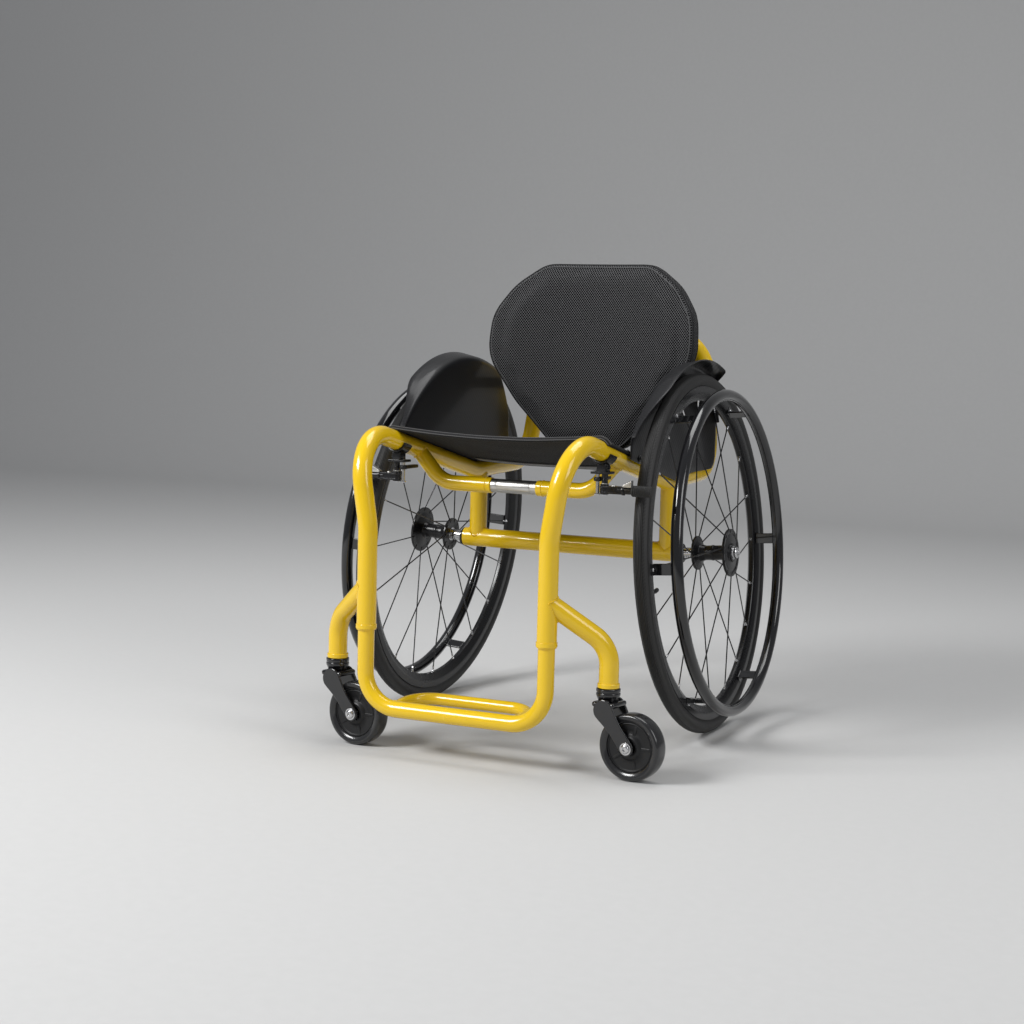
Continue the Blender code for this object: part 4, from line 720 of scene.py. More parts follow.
def weld(bm, points, size):
    """A bead of overlapping drops along a closed line of points."""
    count = len(points)
    for k, point in enumerate(points):
        along = (points[(k + 1) % count] - points[k - 1]).normalized()
        drop = bmesh.new()
        bmesh.ops.create_uvsphere(drop, u_segments=8, v_segments=5, radius=size)
        bmesh.ops.scale(drop, vec=(1, 1, 0.62), verts=drop.verts)
        add(bm, drop, facing(point, along))


def weld_root(bm, root, bend, meet, radius, through, along, drops):
    """Shape a tube's open end to the main tube it runs into, and lay the bead between the two."""
    outside, bead_sunk, bead_off, bead = 0.06, 0.0006, 0.0001, 0.0014
    heading = (meet - bend).normalized()
    for vert in {vert for edge in root for vert in edge.verts}:
        vert.co = skin_hit(vert.co - heading * outside, heading, through, along, TUBE_R - bead_sunk)
    weld(bm, saddle(bend, heading, radius + SUNK, through, along, TUBE_R + bead_off, drops), bead)


# Frame

def side_tubes():
    """Leg, knee and seat rail in one bent tube, with the step ring and clamp screws at the leg's end."""
    for side, sign in SIDES:
        leg, rail = sign * LEG_X, sign * RAIL_X
        foot = at(leg, -LEG_AHEAD, LEG_END_Z)
        corners = [foot, at(leg, -LEG_AHEAD, LEG_SPLAY_Z), at(rail, -LEG_AHEAD, rail_z(-LEG_AHEAD)),
                   at(rail, -RAIL_LOW_AHEAD, RAIL_LOW_Z), at(rail, RAIL_END_BEHIND, rear_z(RAIL_END_BEHIND))]
        bm = bmesh.new()
        low = bent_tube(bm, corners, SIDE_RADII, TUBE_R, ends=(False, True), edge=0.0006)
        mouth = grow(bm, low, Vector(), (FOOT_R + MOUTH_GAP) / TUBE_R)
        grow(bm, mouth, UP * MOUTH_DEPTH)
        collar(bm, Matrix.Translation(foot), TUBE_R, 0.0011, (0.0015, 0.0018, 0.0082, 0.0085), 0.0003)
        piece(f"{side}_side_rail_tube", bm, YELLOW, "frame", "yellow_paint", f"{side}_side_tube")
        bm = bmesh.new()
        for height in (0.212, 0.229):
            spot = at(leg, -LEG_AHEAD + TUBE_R - 0.0002, height)
            socket_screw(bm, facing(spot, REARWARD), LEG_SCREW)
        piece(f"{side}_leg_clamp_screws", bm, STEEL, "frame", "polished_steel")


def back_hoop():
    """The canes and the push bar behind the pad, one tube from rail end to rail end."""
    start = RAIL_END_BEHIND + GAP
    half = [(RAIL_X, start, rear_z(start)), cane_at(rear_z(HOOP_CORNER_BEHIND)), cane_at(HOOP_TOP_Z)]
    corners = [at(*spot) for spot in half] + [at(-x, behind, z) for x, behind, z in reversed(half)]
    bm = bmesh.new()
    bent_tube(bm, corners, (HOOP_CORNER_R, HOOP_TOP_R, HOOP_TOP_R, HOOP_CORNER_R), TUBE_R, edge=0.0006)
    piece("back_hoop_tube", bm, YELLOW, "frame", "yellow_paint", "back_hoop")


def foot_tubes():
    """The footrest: a U tube that slides in the legs, and the smaller loop welded behind it."""
    outline = ((LEG_X, FOOT_TOP_Z), (LEG_X, FOOT_Z), (-LEG_X, FOOT_Z), (-LEG_X, FOOT_TOP_Z))
    bm = bmesh.new()
    bent_tube(bm, [at(x, -LEG_AHEAD, z) for x, z in outline], (FOOT_CORNER_R,) * 2, FOOT_R)
    piece("foot_u_tube", bm, YELLOW, "footrest", "yellow_paint", "footrest_tube")
    front, rear = at(0, -LEG_AHEAD, FOOT_Z), at(0, LOOP_DEPTH - LEG_AHEAD, FOOT_Z + LOOP_RISE)
    wide = LEFTWARD * LOOP_HALF
    corners = [front + wide, rear + wide, rear - wide, front - wide]
    heading = (front - rear).normalized()
    bm = bmesh.new()
    bent_tube(bm, corners, (LOOP_CORNER_R,) * 2, LOOP_R, ends=(False, False))
    for corner in corners[1:3]:
        weld(bm, saddle(corner, heading, LOOP_R + 0.0008, front, LEFTWARD, FOOT_R + SUNK, 34), 0.0020)
    piece("foot_rear_loop", bm, YELLOW, "footrest", "yellow_paint", "footrest_loop")


def caster_arms():
    """The arms that leave the legs sideways and bend down to the caster heads."""
    for side, sign in SIDES:
        bend, end = caster_pivot(sign, ARM_CORNER_Z), caster_pivot(sign, ARM_END_Z)
        meet = at(sign * LEG_X, -LEG_AHEAD, ARM_ROOT_Z)
        bm = bmesh.new()
        root = bent_tube(bm, [meet, bend, end], (ARM_BEND_R,), ARM_R, ends=(False, True), edge=0.0005)
        weld_root(bm, root, bend, meet, ARM_R, at(sign * LEG_X, -LEG_AHEAD, 0), UP, 60)
        collar(bm, Matrix.Translation(end), ARM_R, 0.0018, (0.0, 0.0004, 0.0066, 0.0072), 0.0005)
        piece(f"{side}_caster_outrigger", bm, YELLOW, "frame", "yellow_paint", f"{side}_caster_arm")


def cross_tubes():
    """The tube under the seat: a yellow half at each side with a bare sleeve between them."""
    level = rail_z(-CROSS_AHEAD) - CROSS_DROP
    for side, sign in SIDES:
        rail = at(sign * RAIL_X, -CROSS_AHEAD, rail_z(-CROSS_AHEAD))
        corner, end, seam = (at(sign * x, -CROSS_AHEAD, level)
                             for x in (CROSS_CORNER_X, SLEEVE_HALF + GAP, SLEEVE_HALF + SLEEVE_BEAD))
        bm = bmesh.new()
        root = bent_tube(bm, [rail, corner, end], (CROSS_BEND_R,), CROSS_R, ends=(False, True), edge=0.0012)
        weld_root(bm, root, corner, rail, CROSS_R, rail, ALONG_RAIL, 52)
        weld(bm, ring_points(seam, LEFTWARD, CROSS_R - SUNK, 52), 0.0013)
        piece(f"{side}_seat_cross_tube", bm, YELLOW, "frame", "yellow_paint", f"{side}_cross_tube")
    end, groove_r = SLEEVE_HALF + SLEEVE_PLUG, SLEEVE_R - 0.0005
    half = [(0, end), (SLEEVE_PLUG_R, end), (SLEEVE_PLUG_R, SLEEVE_HALF), (SLEEVE_R, SLEEVE_HALF),
            (SLEEVE_R, 0.030), (groove_r, 0.0295), (groove_r, 0.0285), (SLEEVE_R, 0.028)]
    bm = bmesh.new()
    turned(bm, mirrored(half), facing(at(0, -CROSS_AHEAD, level), LEFTWARD), 56, 0.0002)
    piece("bare_cross_sleeve", bm, SLEEVE, "frame", "brushed_aluminium", "cross_tube_sleeve")


def axle_beam():
    """The rear axle tube, with the posts that carry the rails and their weld beads."""
    middle = at(0, 0, AXLE_TUBE_Z)
    bead_off, drops, bead = 0.0001, 60, 0.0015
    bm = bmesh.new()
    for sign in (-1, 1):
        bar(bm, middle, at(sign * AXLE_END_X, 0, AXLE_TUBE_Z), AXLE_TUBE_R, 44, 0.0)
    for _, sign in SIDES:
        end = at(sign * AXLE_END_X, 0, AXLE_TUBE_Z)
        mouth = [(AXLE_TUBE_R, 0), (AXLE_TUBE_R, 0.0001), (AXLE_BORE_R, 0.0001), (AXLE_BORE_R, -0.02)]
        turned(bm, mouth, facing(end, LEFTWARD * sign), 44)
        heights = (AXLE_TUBE_Z, rear_z(0) - TUBE_R * 0.55, rear_z(0))
        foot, top, rail = (at(sign * RAIL_X, 0, z) for z in heights)
        bar(bm, foot, top, TUBE_R, 40, 0.0)
        weld(bm, saddle(top, -UP, TUBE_R + 0.0008, middle, LEFTWARD, AXLE_TUBE_R + bead_off, drops), bead)
        along = Vector((0, 1, REAR_SLOPE)).normalized()
        weld(bm, saddle(foot, UP, TUBE_R * 0.93, rail, along, TUBE_R + bead_off, drops), bead)
    piece("rear_axle_beam", bm, YELLOW, "frame", "yellow_paint", "axle_tube")


# Rear wheels

def wheel_place(sign):
    """The wheel's own axes: X up along the cambered wheel, Z out along its axle."""
    out = Vector((sign * cos(CAMBER), 0, sin(CAMBER)))
    up = Vector((-sign * sin(CAMBER), 0, cos(CAMBER)))
    return Matrix.Translation(at(sign * WHEEL_X, 0, WHEEL_Z)) @ axes(up, out.cross(up), out)


def round_the_wheel(angle, radius, out):
    return Vector((radius * cos(angle), radius * sin(angle), out))


def tyre(side, place):
    """A slick tyre with fine grooves round its tread and a moulded line on each wall."""
    steps = [(angle, 0.0) for angle in range(-140, 141, 10) if abs(angle) > 20]
    for groove in TREAD_GROOVES:
        steps += [(groove - 3, 0.0), (groove - 1.6, -GROOVE_DEPTH), (groove + 1.6, -GROOVE_DEPTH),
                  (groove + 3, 0.0)]
    for line in WALL_LINES:
        steps += [(line - 2, LINE_PROUD), (line + 2, LINE_PROUD)]
    profile = []
    for angle, proud in sorted(steps):
        r = TYRE_SECTION_R + proud
        profile.append((TYRE_RING_R + r * cos(radians(angle)), r * sin(radians(angle))))
    edge = acos((TYRE_RING_R - RIM_SEAT_R - GAP) / TYRE_SECTION_R)
    seat, half = TYRE_RING_R - TYRE_SECTION_R * cos(edge), TYRE_SECTION_R * sin(edge)
    bm = bmesh.new()
    turned(bm, [(seat, -half), *profile, (seat, half)], place, 108, closed=True)
    back = place.inverted()

    def flat(vert, middle):
        spot, near = back @ vert.co, back @ middle
        swing = near.to_2d().angle_signed(spot.to_2d())
        off = atan2(spot.z, hypot(spot.x, spot.y) - TYRE_RING_R)
        return (atan2(near.y, near.x) - swing) * TYRE_R, off * TYRE_SECTION_R
    unroll(bm, flat)
    piece(f"{side}_treaded_tyre", bm, TYRE_RUBBER, f"{side}_wheel", "tyre_rubber", f"{side}_tyre")


def rim(side, place):
    half = [(RIM_INNER_R, 0.0028), (0.2513, 0.0046), (0.2615, 0.0096), (0.2640, 0.0102), (0.2735, 0.0102),
            (0.2738, 0.0093), (0.2712, 0.0089)]
    bm = bmesh.new()
    turned(bm, mirrored(half), place, 108, 0.0003, closed=True)
    piece(f"{side}_deep_rim", bm, ANODISED, f"{side}_wheel", "black_anodised", f"{side}_rim")


def spoke_ends():
    """Hub end and rim end of each spoke, in the wheel's own axes, by turns on the outer and inner flange."""
    step = pi / SPOKES_A_FLANGE
    for k in range(SPOKES_A_FLANGE):
        turn = 2 * step * k
        yield (round_the_wheel(turn, OUTER_FLANGE_R - SPOKE_INSET, OUTER_FLANGE_AT),
               round_the_wheel(turn + step, RIM_INNER_R, 0))
        yield (round_the_wheel(turn + step, INNER_FLANGE_R - SPOKE_INSET, FLANGE_HALF - HUB_INNER),
               round_the_wheel(turn, RIM_INNER_R, 0))


def hub(side, place):
    """The turned hub with its two flanges and the bosses that the spokes hook into."""
    low, top, bore_r = OUTER_FLANGE_AT - FLANGE_HALF, OUTER_FLANGE_AT + FLANGE_HALF, 0.0116
    bm = bmesh.new()
    turned(bm, [
        (bore_r, HUB_OUTER), (0.0150, HUB_OUTER), (0.0150, top + 0.0012), (0.0165, top),
        (0.030, top - 0.0004), (0.0312, top - 0.0012), (0.0328, top), (OUTER_FLANGE_R, top),
        (OUTER_FLANGE_R, low), (0.0300, low),
        (0.0140, low - 0.004), (0.0120, low - 0.010), (0.0122, 0.018), (0.0128, 0.0175), (0.0128, 0.0145),
        (0.0122, 0.014), (0.0120, 0.004), (0.0150, -0.005), (0.0240, -0.0085), (INNER_FLANGE_R, -0.0090),
        (INNER_FLANGE_R, -HUB_INNER), (0.0170, -HUB_INNER), (0.0160, -HUB_INNER + 0.0008),
        (bore_r, -HUB_INNER + 0.0008),
    ], place, 64, 0.0004)
    for start, _ in spoke_ends():
        washer(bm, place @ facing(start + UP * 0.0021, UP), 0, 0.0031, 0.0004, -0.0046, 10, 0.0004)
    piece(f"{side}_turned_hub", bm, ANODISED, f"{side}_wheel", "black_anodised", f"{side}_hub")


def spokes(side, place):
    """Thin crossed spokes with their bright heads in the hub and nipples in the rim."""
    head = [(0, -0.0022), (0.0019, -0.0016), (0.0021, 0.0), (0.0012, 0.0022), (0, 0.0022)]
    nipple = [(0, 0.0), (0.0012, 0.0), (0.0016, 0.0003), (0.0018, 0.0080), (0.0024, 0.0085), (0.0026, 0.0120),
              (0, 0.0120)]
    wires, ends = bmesh.new(), bmesh.new()
    for start, end in spoke_ends():
        along = (end - start).normalized()
        shape = bmesh.new()
        bar(shape, start - along * 0.001, end - along * 0.002, SPOKE_R, 8, 0.0002)
        add(wires, shape, place)
        for profile, spot in ((head, start), (nipple, end - along * 0.0105)):
            turned(ends, profile, place @ facing(spot, along), 10)
    piece(f"{side}_crossed_spokes", wires, SPOKE_STEEL, f"{side}_wheel", "black_anodised", crease=70)
    piece(f"{side}_spoke_heads_and_nipples", ends, STEEL, f"{side}_wheel", "polished_steel", crease=70)


def valve(side, place):
    root, inward = round_the_wheel(VALVE_AT, RIM_INNER_R + 0.002, 0), -round_the_wheel(VALVE_AT, 1, 0)
    bm = bmesh.new()
    turned(bm, [(0.0, 0.0), (0.0042, 0.0), (0.0042, 0.0034), (0.0026, 0.0042), (0.0026, 0.017),
                (0.0034, 0.018), (0.0034, 0.027), (0.0022, 0.0285), (0.0, 0.0285)],
           place @ facing(root, inward), 20, 0.0003)
    piece(f"{side}_tyre_valve", bm, PLASTIC, f"{side}_wheel", "black_plastic")


def handrim(side, place):
    """The push ring with its bent tabs, each screwed to the rim."""
    turns = (2 * pi * k / 24 for k in range(24))
    section = [(HANDRIM_RING_R + HANDRIM_TUBE_R * cos(turn), HANDRIM_TUBE_R * sin(turn)) for turn in turns]
    ring, screws = bmesh.new(), bmesh.new()
    turned(ring, section, moved(place, z=HANDRIM_OUT), 108, closed=True)
    for k in range(HANDRIM_TABS):
        turn = spun(place, 2 * pi * (k + 0.5) / HANDRIM_TABS)
        upright = moved(turn, HANDRIM_RING_R, 0, (TAB_LOW + HANDRIM_OUT) / 2)
        block(ring, (0.0032, 0.018, HANDRIM_OUT - TAB_LOW), upright, 0.0007)
        block(ring, (0.013, 0.018, 0.0028), moved(turn, HANDRIM_RING_R + 0.0045, 0, TAB_LOW + 0.0016), 0.0007)
        socket_screw(screws, moved(turn, HANDRIM_RING_R + 0.0066, 0, TAB_LOW + 0.0028), TAB_SCREW)
    piece(f"{side}_push_ring", ring, GLOSS, f"{side}_wheel", "black_anodised", f"{side}_handrim")
    piece(f"{side}_push_ring_screws", screws, STEEL, f"{side}_wheel", "polished_steel")


def sealed_bearing(name, outer, inner, length, place, body, node_name):
    """A ball bearing with its races and a grooved seal between them."""
    step, top = (outer - inner) / 4, length / 2
    seal = top - 0.0006
    half = [(inner, top), (inner + step, top), (inner + 1.2 * step, seal), (outer - 1.2 * step, seal),
            (outer - step, top), (outer, top)]
    bm = bmesh.new()
    turned(bm, mirrored(half), place, 32, closed=True)
    piece(name, bm, STEEL, body, "polished_steel", node_name)


def camber_plug(side, sign, place):
    """The plug in the axle tube's end, its flange square to the cambered wheel."""
    lip = PLUG_OUTER - 0.0006
    bm = bmesh.new()
    turned(bm, [(PLUG_BORE_R, PLUG_OUTER), (0.0125, PLUG_OUTER), (0.0130, lip), (0.0155, lip),
                (0.0155, PLUG_INNER), (PLUG_BORE_R, PLUG_INNER)], place, 48, 0.0003, closed=True)
    end = at(sign * AXLE_END_X, 0, AXLE_TUBE_Z)
    bar(bm, end - LEFTWARD * sign * 0.028, end + LEFTWARD * sign * 0.001, 0.0128, 40, 0.0004)
    piece(f"{side}_camber_bush", bm, GLOSS, "frame", "black_anodised", f"{side}_camber_plug")


def axle_spacer(side, place):
    """The bright grooved spacer between the camber plug and the hub."""
    top = -HUB_INNER - GAP
    profile = [(PLUG_BORE_R, top), (0.0088, top)]
    for k in range(SPACER_GROOVES):
        h = top - 0.0030 - k * SPACER_PITCH
        profile += [(0.0090, h), (0.0084, h - 0.0005), (0.0084, h - 0.0013), (0.0090, h - 0.0018)]
    low = top - SPACER_LENGTH
    bm = bmesh.new()
    turned(bm, profile + [(0.0088, low), (PLUG_BORE_R, low)], place, 48, closed=True)
    piece(f"{side}_bright_spacer", bm, STEEL, "frame", "polished_steel", f"{side}_axle_spacer")


def release_pin(side, place):
    """The quick-release pin with its grooved head and the button in it."""
    head = HUB_OUTER + GAP
    top, deep, well_r = head + PIN_HEAD_LEN, PLUG_INNER - 0.002, BUTTON_R + GAP
    bm = bmesh.new()
    turned(bm, [(0, top - 0.0080), (well_r, top - 0.0080), (well_r, top - 0.0004), (BUTTON_R + 0.0009, top),
                (0.0080, top), (PIN_HEAD_R, top - 0.0014), (PIN_HEAD_R, head + 0.0026),
                (0.0088, head + 0.0022), (0.0088, head + 0.0014), (PIN_HEAD_R, head + 0.0010),
                (PIN_HEAD_R, head), (PIN_R, head), (PIN_R, deep + 0.001), (PIN_R - 0.001, deep),
                (0, deep)], place, 48, 0.0002)
    piece(f"{side}_release_pin", bm, STEEL, "frame", "polished_steel", f"{side}_axle_pin")
    crown = top + BUTTON_PROUD
    bm = bmesh.new()
    turned(bm, [(0, crown - 0.0004), (BUTTON_R * 0.55, crown), (BUTTON_R - 0.0006, crown),
                (BUTTON_R, crown - 0.0006), (BUTTON_R, crown - BUTTON_LEN), (0, crown - BUTTON_LEN)],
           place, 32, 0.0002)
    piece(f"{side}_release_button", bm, STEEL, f"{side}_button", "polished_steel", f"{side}_axle_button")


def rear_wheels():
    for side, sign in SIDES:
        place = wheel_place(sign)
        for make in (tyre, rim, hub, spokes, valve, handrim):
            make(side, place)
        for spot, middle in (("outer", HUB_OUTER - 0.0039), ("inner", 0.0039 - HUB_INNER)):
            sealed_bearing(f"{side}_wheel_bearing_{spot}", 0.0113, 0.00665, 0.0078, moved(place, z=middle),
                           f"{side}_wheel", f"{side}_hub_{spot}_bearing")
        camber_plug(side, sign, place)
        axle_spacer(side, place)
        release_pin(side, place)


# Casters

def casters():
    """Each caster: its head on the frame, the two bearings in it, the fork below and the wheel."""
    for side, sign in SIDES:
        stand = Matrix.Translation(caster_pivot(sign, 0))
        bore_r, neck_r, groove_r = 0.0111, 0.0128, 0.0172
        bm = bmesh.new()
        turned(bm, [(bore_r, HOUSING_TOP_Z), (neck_r, HOUSING_TOP_Z), (neck_r, ARM_END_Z - GAP),
                    (groove_r, ARM_END_Z - GAP), (HOUSING_R, ARM_END_Z - 0.0010), (HOUSING_R, 0.1268),
                    (groove_r, 0.1262), (groove_r, 0.1250), (HOUSING_R, 0.1244), (HOUSING_R, 0.1212),
                    (0.0165, 0.1180), (0.0150, HOUSING_LOW_Z + 0.0008), (0.0142, HOUSING_LOW_Z),
                    (bore_r, HOUSING_LOW_Z)], stand, 56, 0.0003, closed=True)
        piece(f"{side}_caster_head", bm, GLOSS, "frame", "black_anodised", f"{side}_caster_housing")
        for spot, middle in (("lower", HOUSING_LOW_Z + 0.0035), ("upper", HOUSING_TOP_Z - 0.0035)):
            sealed_bearing(f"{side}_head_bearing_{spot}", 0.0108, 0.0058, 0.007, moved(stand, z=middle),
                           "frame", f"{side}_housing_{spot}_bearing")
        swivel = spun(stand, CASTER_TURN)
        axle = spun(moved(swivel, CASTER_TRAIL, 0, CASTER_R), pi / 2, "X")
        caster_fork(side, swivel)
        fork_bolt(side, axle)
        caster_wheel(side, axle)


def caster_fork(side, swivel):
    """Crown, two tapered legs and the stem with its cap."""
    width = 2 * (FORK_INNER + FORK_PLATE) - 0.0004
    middle = moved(swivel, 0.002, 0, (CROWN_TOP + CROWN_LOW) / 2)
    bm = bmesh.new()
    block(bm, (0.038, width, CROWN_TOP - CROWN_LOW), middle, 0.0035, 5)
    across = FORK_INNER + FORK_PLATE / 2
    first = Vector((0.003, 0, CROWN_LOW - 0.004))
    leg = Vector((CASTER_TRAIL, 0, CASTER_R)) - first
    slope = leg.normalized()
    upright = axes(slope, Vector((-slope.z, 0, slope.x)), -REARWARD)
    for y in (-across, across):
        place = moved(swivel, first.x, y, first.z) @ upright
        link(bm, leg.length, 0.0165, 0.0115, FORK_PLATE, place, 0.0011, 0.20)
    foot = CROWN_LOW + 0.002
    turned(bm, [(0, 0.1628), (0.0080, 0.1628), (STEM_CAP_R, 0.1620), (STEM_CAP_R, 0.1583), (STEM_R, 0.1583),
                (STEM_R, foot), (0, foot)], swivel, 32, 0.0003)
    piece(f"{side}_fork_and_stem", bm, GLOSS, f"{side}_fork", "black_anodised", f"{side}_caster_fork")


def fork_bolt(side, axle):
    """The bolt through the fork's ends, with a washer at each and its taller head on one side."""
    reach, shank_r = FORK_INNER + FORK_PLATE + GAP, 0.0040
    bm = bmesh.new()
    turned(bm, [(0, -reach + 0.0002), (shank_r, -reach), (shank_r, reach), (0, reach)], axle, 24)
    for flip, height in ((0, 0.0036), (pi, 0.0019)):
        outer = moved(spun(axle, flip, "X"), z=reach)
        washer(bm, outer, 0, 0.0092, 0.0, WASHER_THICK, 32, 0.0002)
        socket_screw(bm, moved(outer, z=ON_WASHER), (0.0070, height), 0.0032)
    piece(f"{side}_fork_axle_bolt", bm, STEEL, f"{side}_fork", "polished_steel", f"{side}_caster_axle_bolt")


def caster_wheel(side, axle):
    """Polished rubber tread, moulded core with ribs, and the bearing in it."""
    body = f"{side}_caster_wheel"
    tread = [(CORE_R, 0.0102), (0.0388, 0.0118), (0.0425, 0.0134), (0.0450, CASTER_HALF), (0.0468, 0.0137),
             (0.0484, 0.0122), (0.0493, 0.0100), (0.0498, 0.0068), (CASTER_R, 0.0030)]
    bm = bmesh.new()
    turned(bm, mirrored(tread), axle, 88, closed=True)
    piece(f"{side}_caster_tread", bm, CASTER_RUBBER, body, "caster_rubber", f"{side}_caster_tyre")
    core = [(CORE_R - GAP, 0.0094), (0.0350, 0.0100), (0.0342, 0.0084), (0.0245, 0.0072), (0.0200, 0.0080),
            (0.0168, 0.0112), (0.0150, 0.0123), (0.0111, 0.0123)]
    bm = bmesh.new()
    turned(bm, mirrored(core), axle, 72, 0.0005, closed=True)
    for k in range(CORE_RIBS):
        block(bm, (0.018, 0.0050, 0.0172), moved(spun(axle, 2 * pi * k / CORE_RIBS), 0.0250), 0.0011)
    piece(f"{side}_caster_core_wheel", bm, PLASTIC, body, "black_plastic", f"{side}_caster_core")
    sealed_bearing(f"{side}_caster_ball_bearing", 0.0108, 0.0043, 0.025, axle, body, f"{side}_caster_bearing")


# Side guards

def guard_top(behind):
    """Height of the guard's fold: round with the tyre, then down to the rear corner."""
    reach = TYRE_R + GUARD_TYRE_GAP
    if behind <= GUARD_ARC_END_BEHIND:
        return WHEEL_Z + sqrt(reach ** 2 - behind ** 2)
    arc_z = WHEEL_Z + sqrt(reach ** 2 - GUARD_ARC_END_BEHIND ** 2)
    share = (behind - GUARD_ARC_END_BEHIND) / (GUARD_REAR_BEHIND - GUARD_ARC_END_BEHIND)
    return arc_z + (GUARD_REAR_Z - arc_z) * share ** 1.5


def guard_hem(behind):
    """Height of the guard's lower edge: along the rail, with a rounded rear corner."""
    if behind < -RAIL_LOW_AHEAD:
        return rail_z(behind)
    level = RAIL_LOW_Z + GUARD_HEM_RISE * min(1.0, (behind + RAIL_LOW_AHEAD) / (3 * RAIL_LOW_AHEAD))
    past = behind - GUARD_REAR_BEHIND + RAIL_LOW_AHEAD
    if past > 0:
        level += RAIL_LOW_AHEAD - sqrt(max(0.0, RAIL_LOW_AHEAD ** 2 - past ** 2))
    return level


def guard_section(behind):
    """The guard's section as (out, height) places: up the wall, round the fold and along the lip."""
    top, hem = guard_top(behind), guard_hem(behind)
    fade = min(1.0, max(0.2, (hypot(behind, top - WHEEL_Z) - TYRE_R) / GUARD_TYRE_GAP))
    front = min(1.0, max(0.0, (behind + GUARD_FRONT_AHEAD) / 0.085))
    fade *= 0.22 + 0.78 * front * front * (3 - 2 * front)
    out, rise = GUARD_LIP_OUT * fade, GUARD_LIP_RISE * fade
    turn = min(0.007, (top - hem) * 0.3)
    corner_out, corner_rise = turn * fade * 1.1, rise * 0.35
    section = [(0.0, hem + (top - turn - hem) * k / WALL_ROWS) for k in range(WALL_ROWS + 1)]
    for t in (k / FOLD_ROWS for k in range(1, FOLD_ROWS + 1)):
        section.append((corner_out * t * t, top - turn * (1 - t) ** 2 + corner_rise * t * t))
    for t in (k / LIP_ROWS for k in range(1, LIP_ROWS + 1)):
        section.append((corner_out + (out - corner_out) * t, top + corner_rise + rise * 0.65 * t))
    return section


def side_guards():
    """Carbon clothes guards: a flat wall whose top folds out over the tyre."""
    for side, sign in SIDES:
        bm = bmesh.new()
        bmesh.ops.create_grid(bm, x_segments=72, y_segments=GUARD_ROWS, size=0.5)
        spread = {}
        for vert in bm.verts:
            behind = -GUARD_FRONT_AHEAD + (vert.co.x + 0.5) * (GUARD_FRONT_AHEAD + GUARD_REAR_BEHIND)
            section = guard_section(behind)
            row = round((vert.co.y + 0.5) * GUARD_ROWS)
            steps = pairs(section[:row + 1], closed=False)
            spread[vert] = (behind, section[0][1] + sum(hypot(b[0] - a[0], b[1] - a[1]) for a, b in steps))
            out, z = section[row]
            vert.co = at(sign * (GUARD_X + out), behind, z)
        unroll(bm, lambda vert, middle: spread[vert])
        made = piece(f"{side}_carbon_guard", bm, CARBON, "frame", "carbon_sheet", f"{side}_side_guard")
        thick_sheet(made, GUARD_THICK, 0.0006, even=True)
        studs, heads = bmesh.new(), bmesh.new()
        for ahead in (GUARD_FRONT_AHEAD - 0.036, 0.022):
            z = guard_hem(-ahead) + 0.0065
            reaches = (RAIL_X + 0.010, GUARD_X - 0.001, GUARD_X + 0.001)
            start, end, seat = (at(sign * x, -ahead, z) for x in reaches)
            bar(studs, start, end, 0.0045, 20, 0.0003)
            out = facing(seat, LEFTWARD * sign)
            washer(heads, out, 0, 0.0068, 0, WASHER_THICK, 32, 0.0002)
            socket_screw(heads, moved(out, z=ON_WASHER), GUARD_SCREW)
        piece(f"{side}_guard_spacers", studs, ANODISED, "frame", "black_anodised")
        piece(f"{side}_guard_screws", heads, GLOSS, "frame", "black_anodised")


# Back

def pad_face(x, z):
    """Front of the pad, leaning back and hollow from side to side."""
    return PAD_FRONT_BEHIND + PAD_LEAN * (z - PAD_LEAN_Z) - x * x / (2 * PAD_HOLLOW_R)


def on_pad(x, z, depth):
    return at(x, pad_face(x, z) + depth, z)


def outline_points(share, count, half=COVER_CORNERS):
    """Evenly spaced (x, z) places round the pad's rounded outline, drawn in towards its middle by a share."""
    whole = [*half, *((-x, z, r) for x, z, r in reversed(half))]
    corners = [Vector((x, z, 0)) for x, z, _ in whole]
    dense = []
    for k, (corner, (_, _, r)) in enumerate(zip(corners, whole)):
        arrive = (corner - corners[k - 1]).normalized()
        leave = (corners[(k + 1) % len(corners)] - corner).normalized()
        turn = arrive.angle(leave)
        axis = arrive.cross(leave).normalized()
        start = corner - arrive * r * tan(turn / 2)
        centre = start + axis.cross(arrive) * r
        dense += [centre + Matrix.Rotation(turn * j / 16, 3, axis) @ (start - centre) for j in range(17)]
    lengths = [(b - a).length for a, b in pairs(dense)]
    total, run, k, points = sum(lengths), 0.0, 0, []
    for goal in (total * j / count for j in range(count)):
        while run + lengths[k] < goal:
            run += lengths[k]
            k += 1
        point = dense[k].lerp(dense[(k + 1) % len(dense)], (goal - run) / max(lengths[k], 1e-9))
        points.append((point.x * share, PAD_MIDDLE_Z + (point.y - PAD_MIDDLE_Z) * share))
    return points


def on_cover():
    """A function for unroll: level on the cushion's two faces, along the outline on its border."""
    ring = [Vector((x, z, 0)) for x, z in outline_points(1.0, 360)]
    step = (ring[1] - ring[0]).length
    nearest = KDTree(len(ring))
    for k, spot in enumerate(ring):
        nearest.insert(spot, k)
    nearest.balance()
    centre = Vector((0, PAD_MIDDLE_Z, 0))

    def flat(vert, middle):
        x, _, z = vert.co
        spot = Vector((middle.x, middle.z, 0))
        edge, near, _ = nearest.find(spot)
        if (spot - centre).length < PIPING_SHARE * (edge - centre).length:
            return x, z
        ahead = (ring[(near + 1) % len(ring)] - edge).normalized()
        return near * step + (Vector((x, z, 0)) - edge).dot(ahead), vert.co.y - AXLE_Y - pad_face(x, z)
    return flat


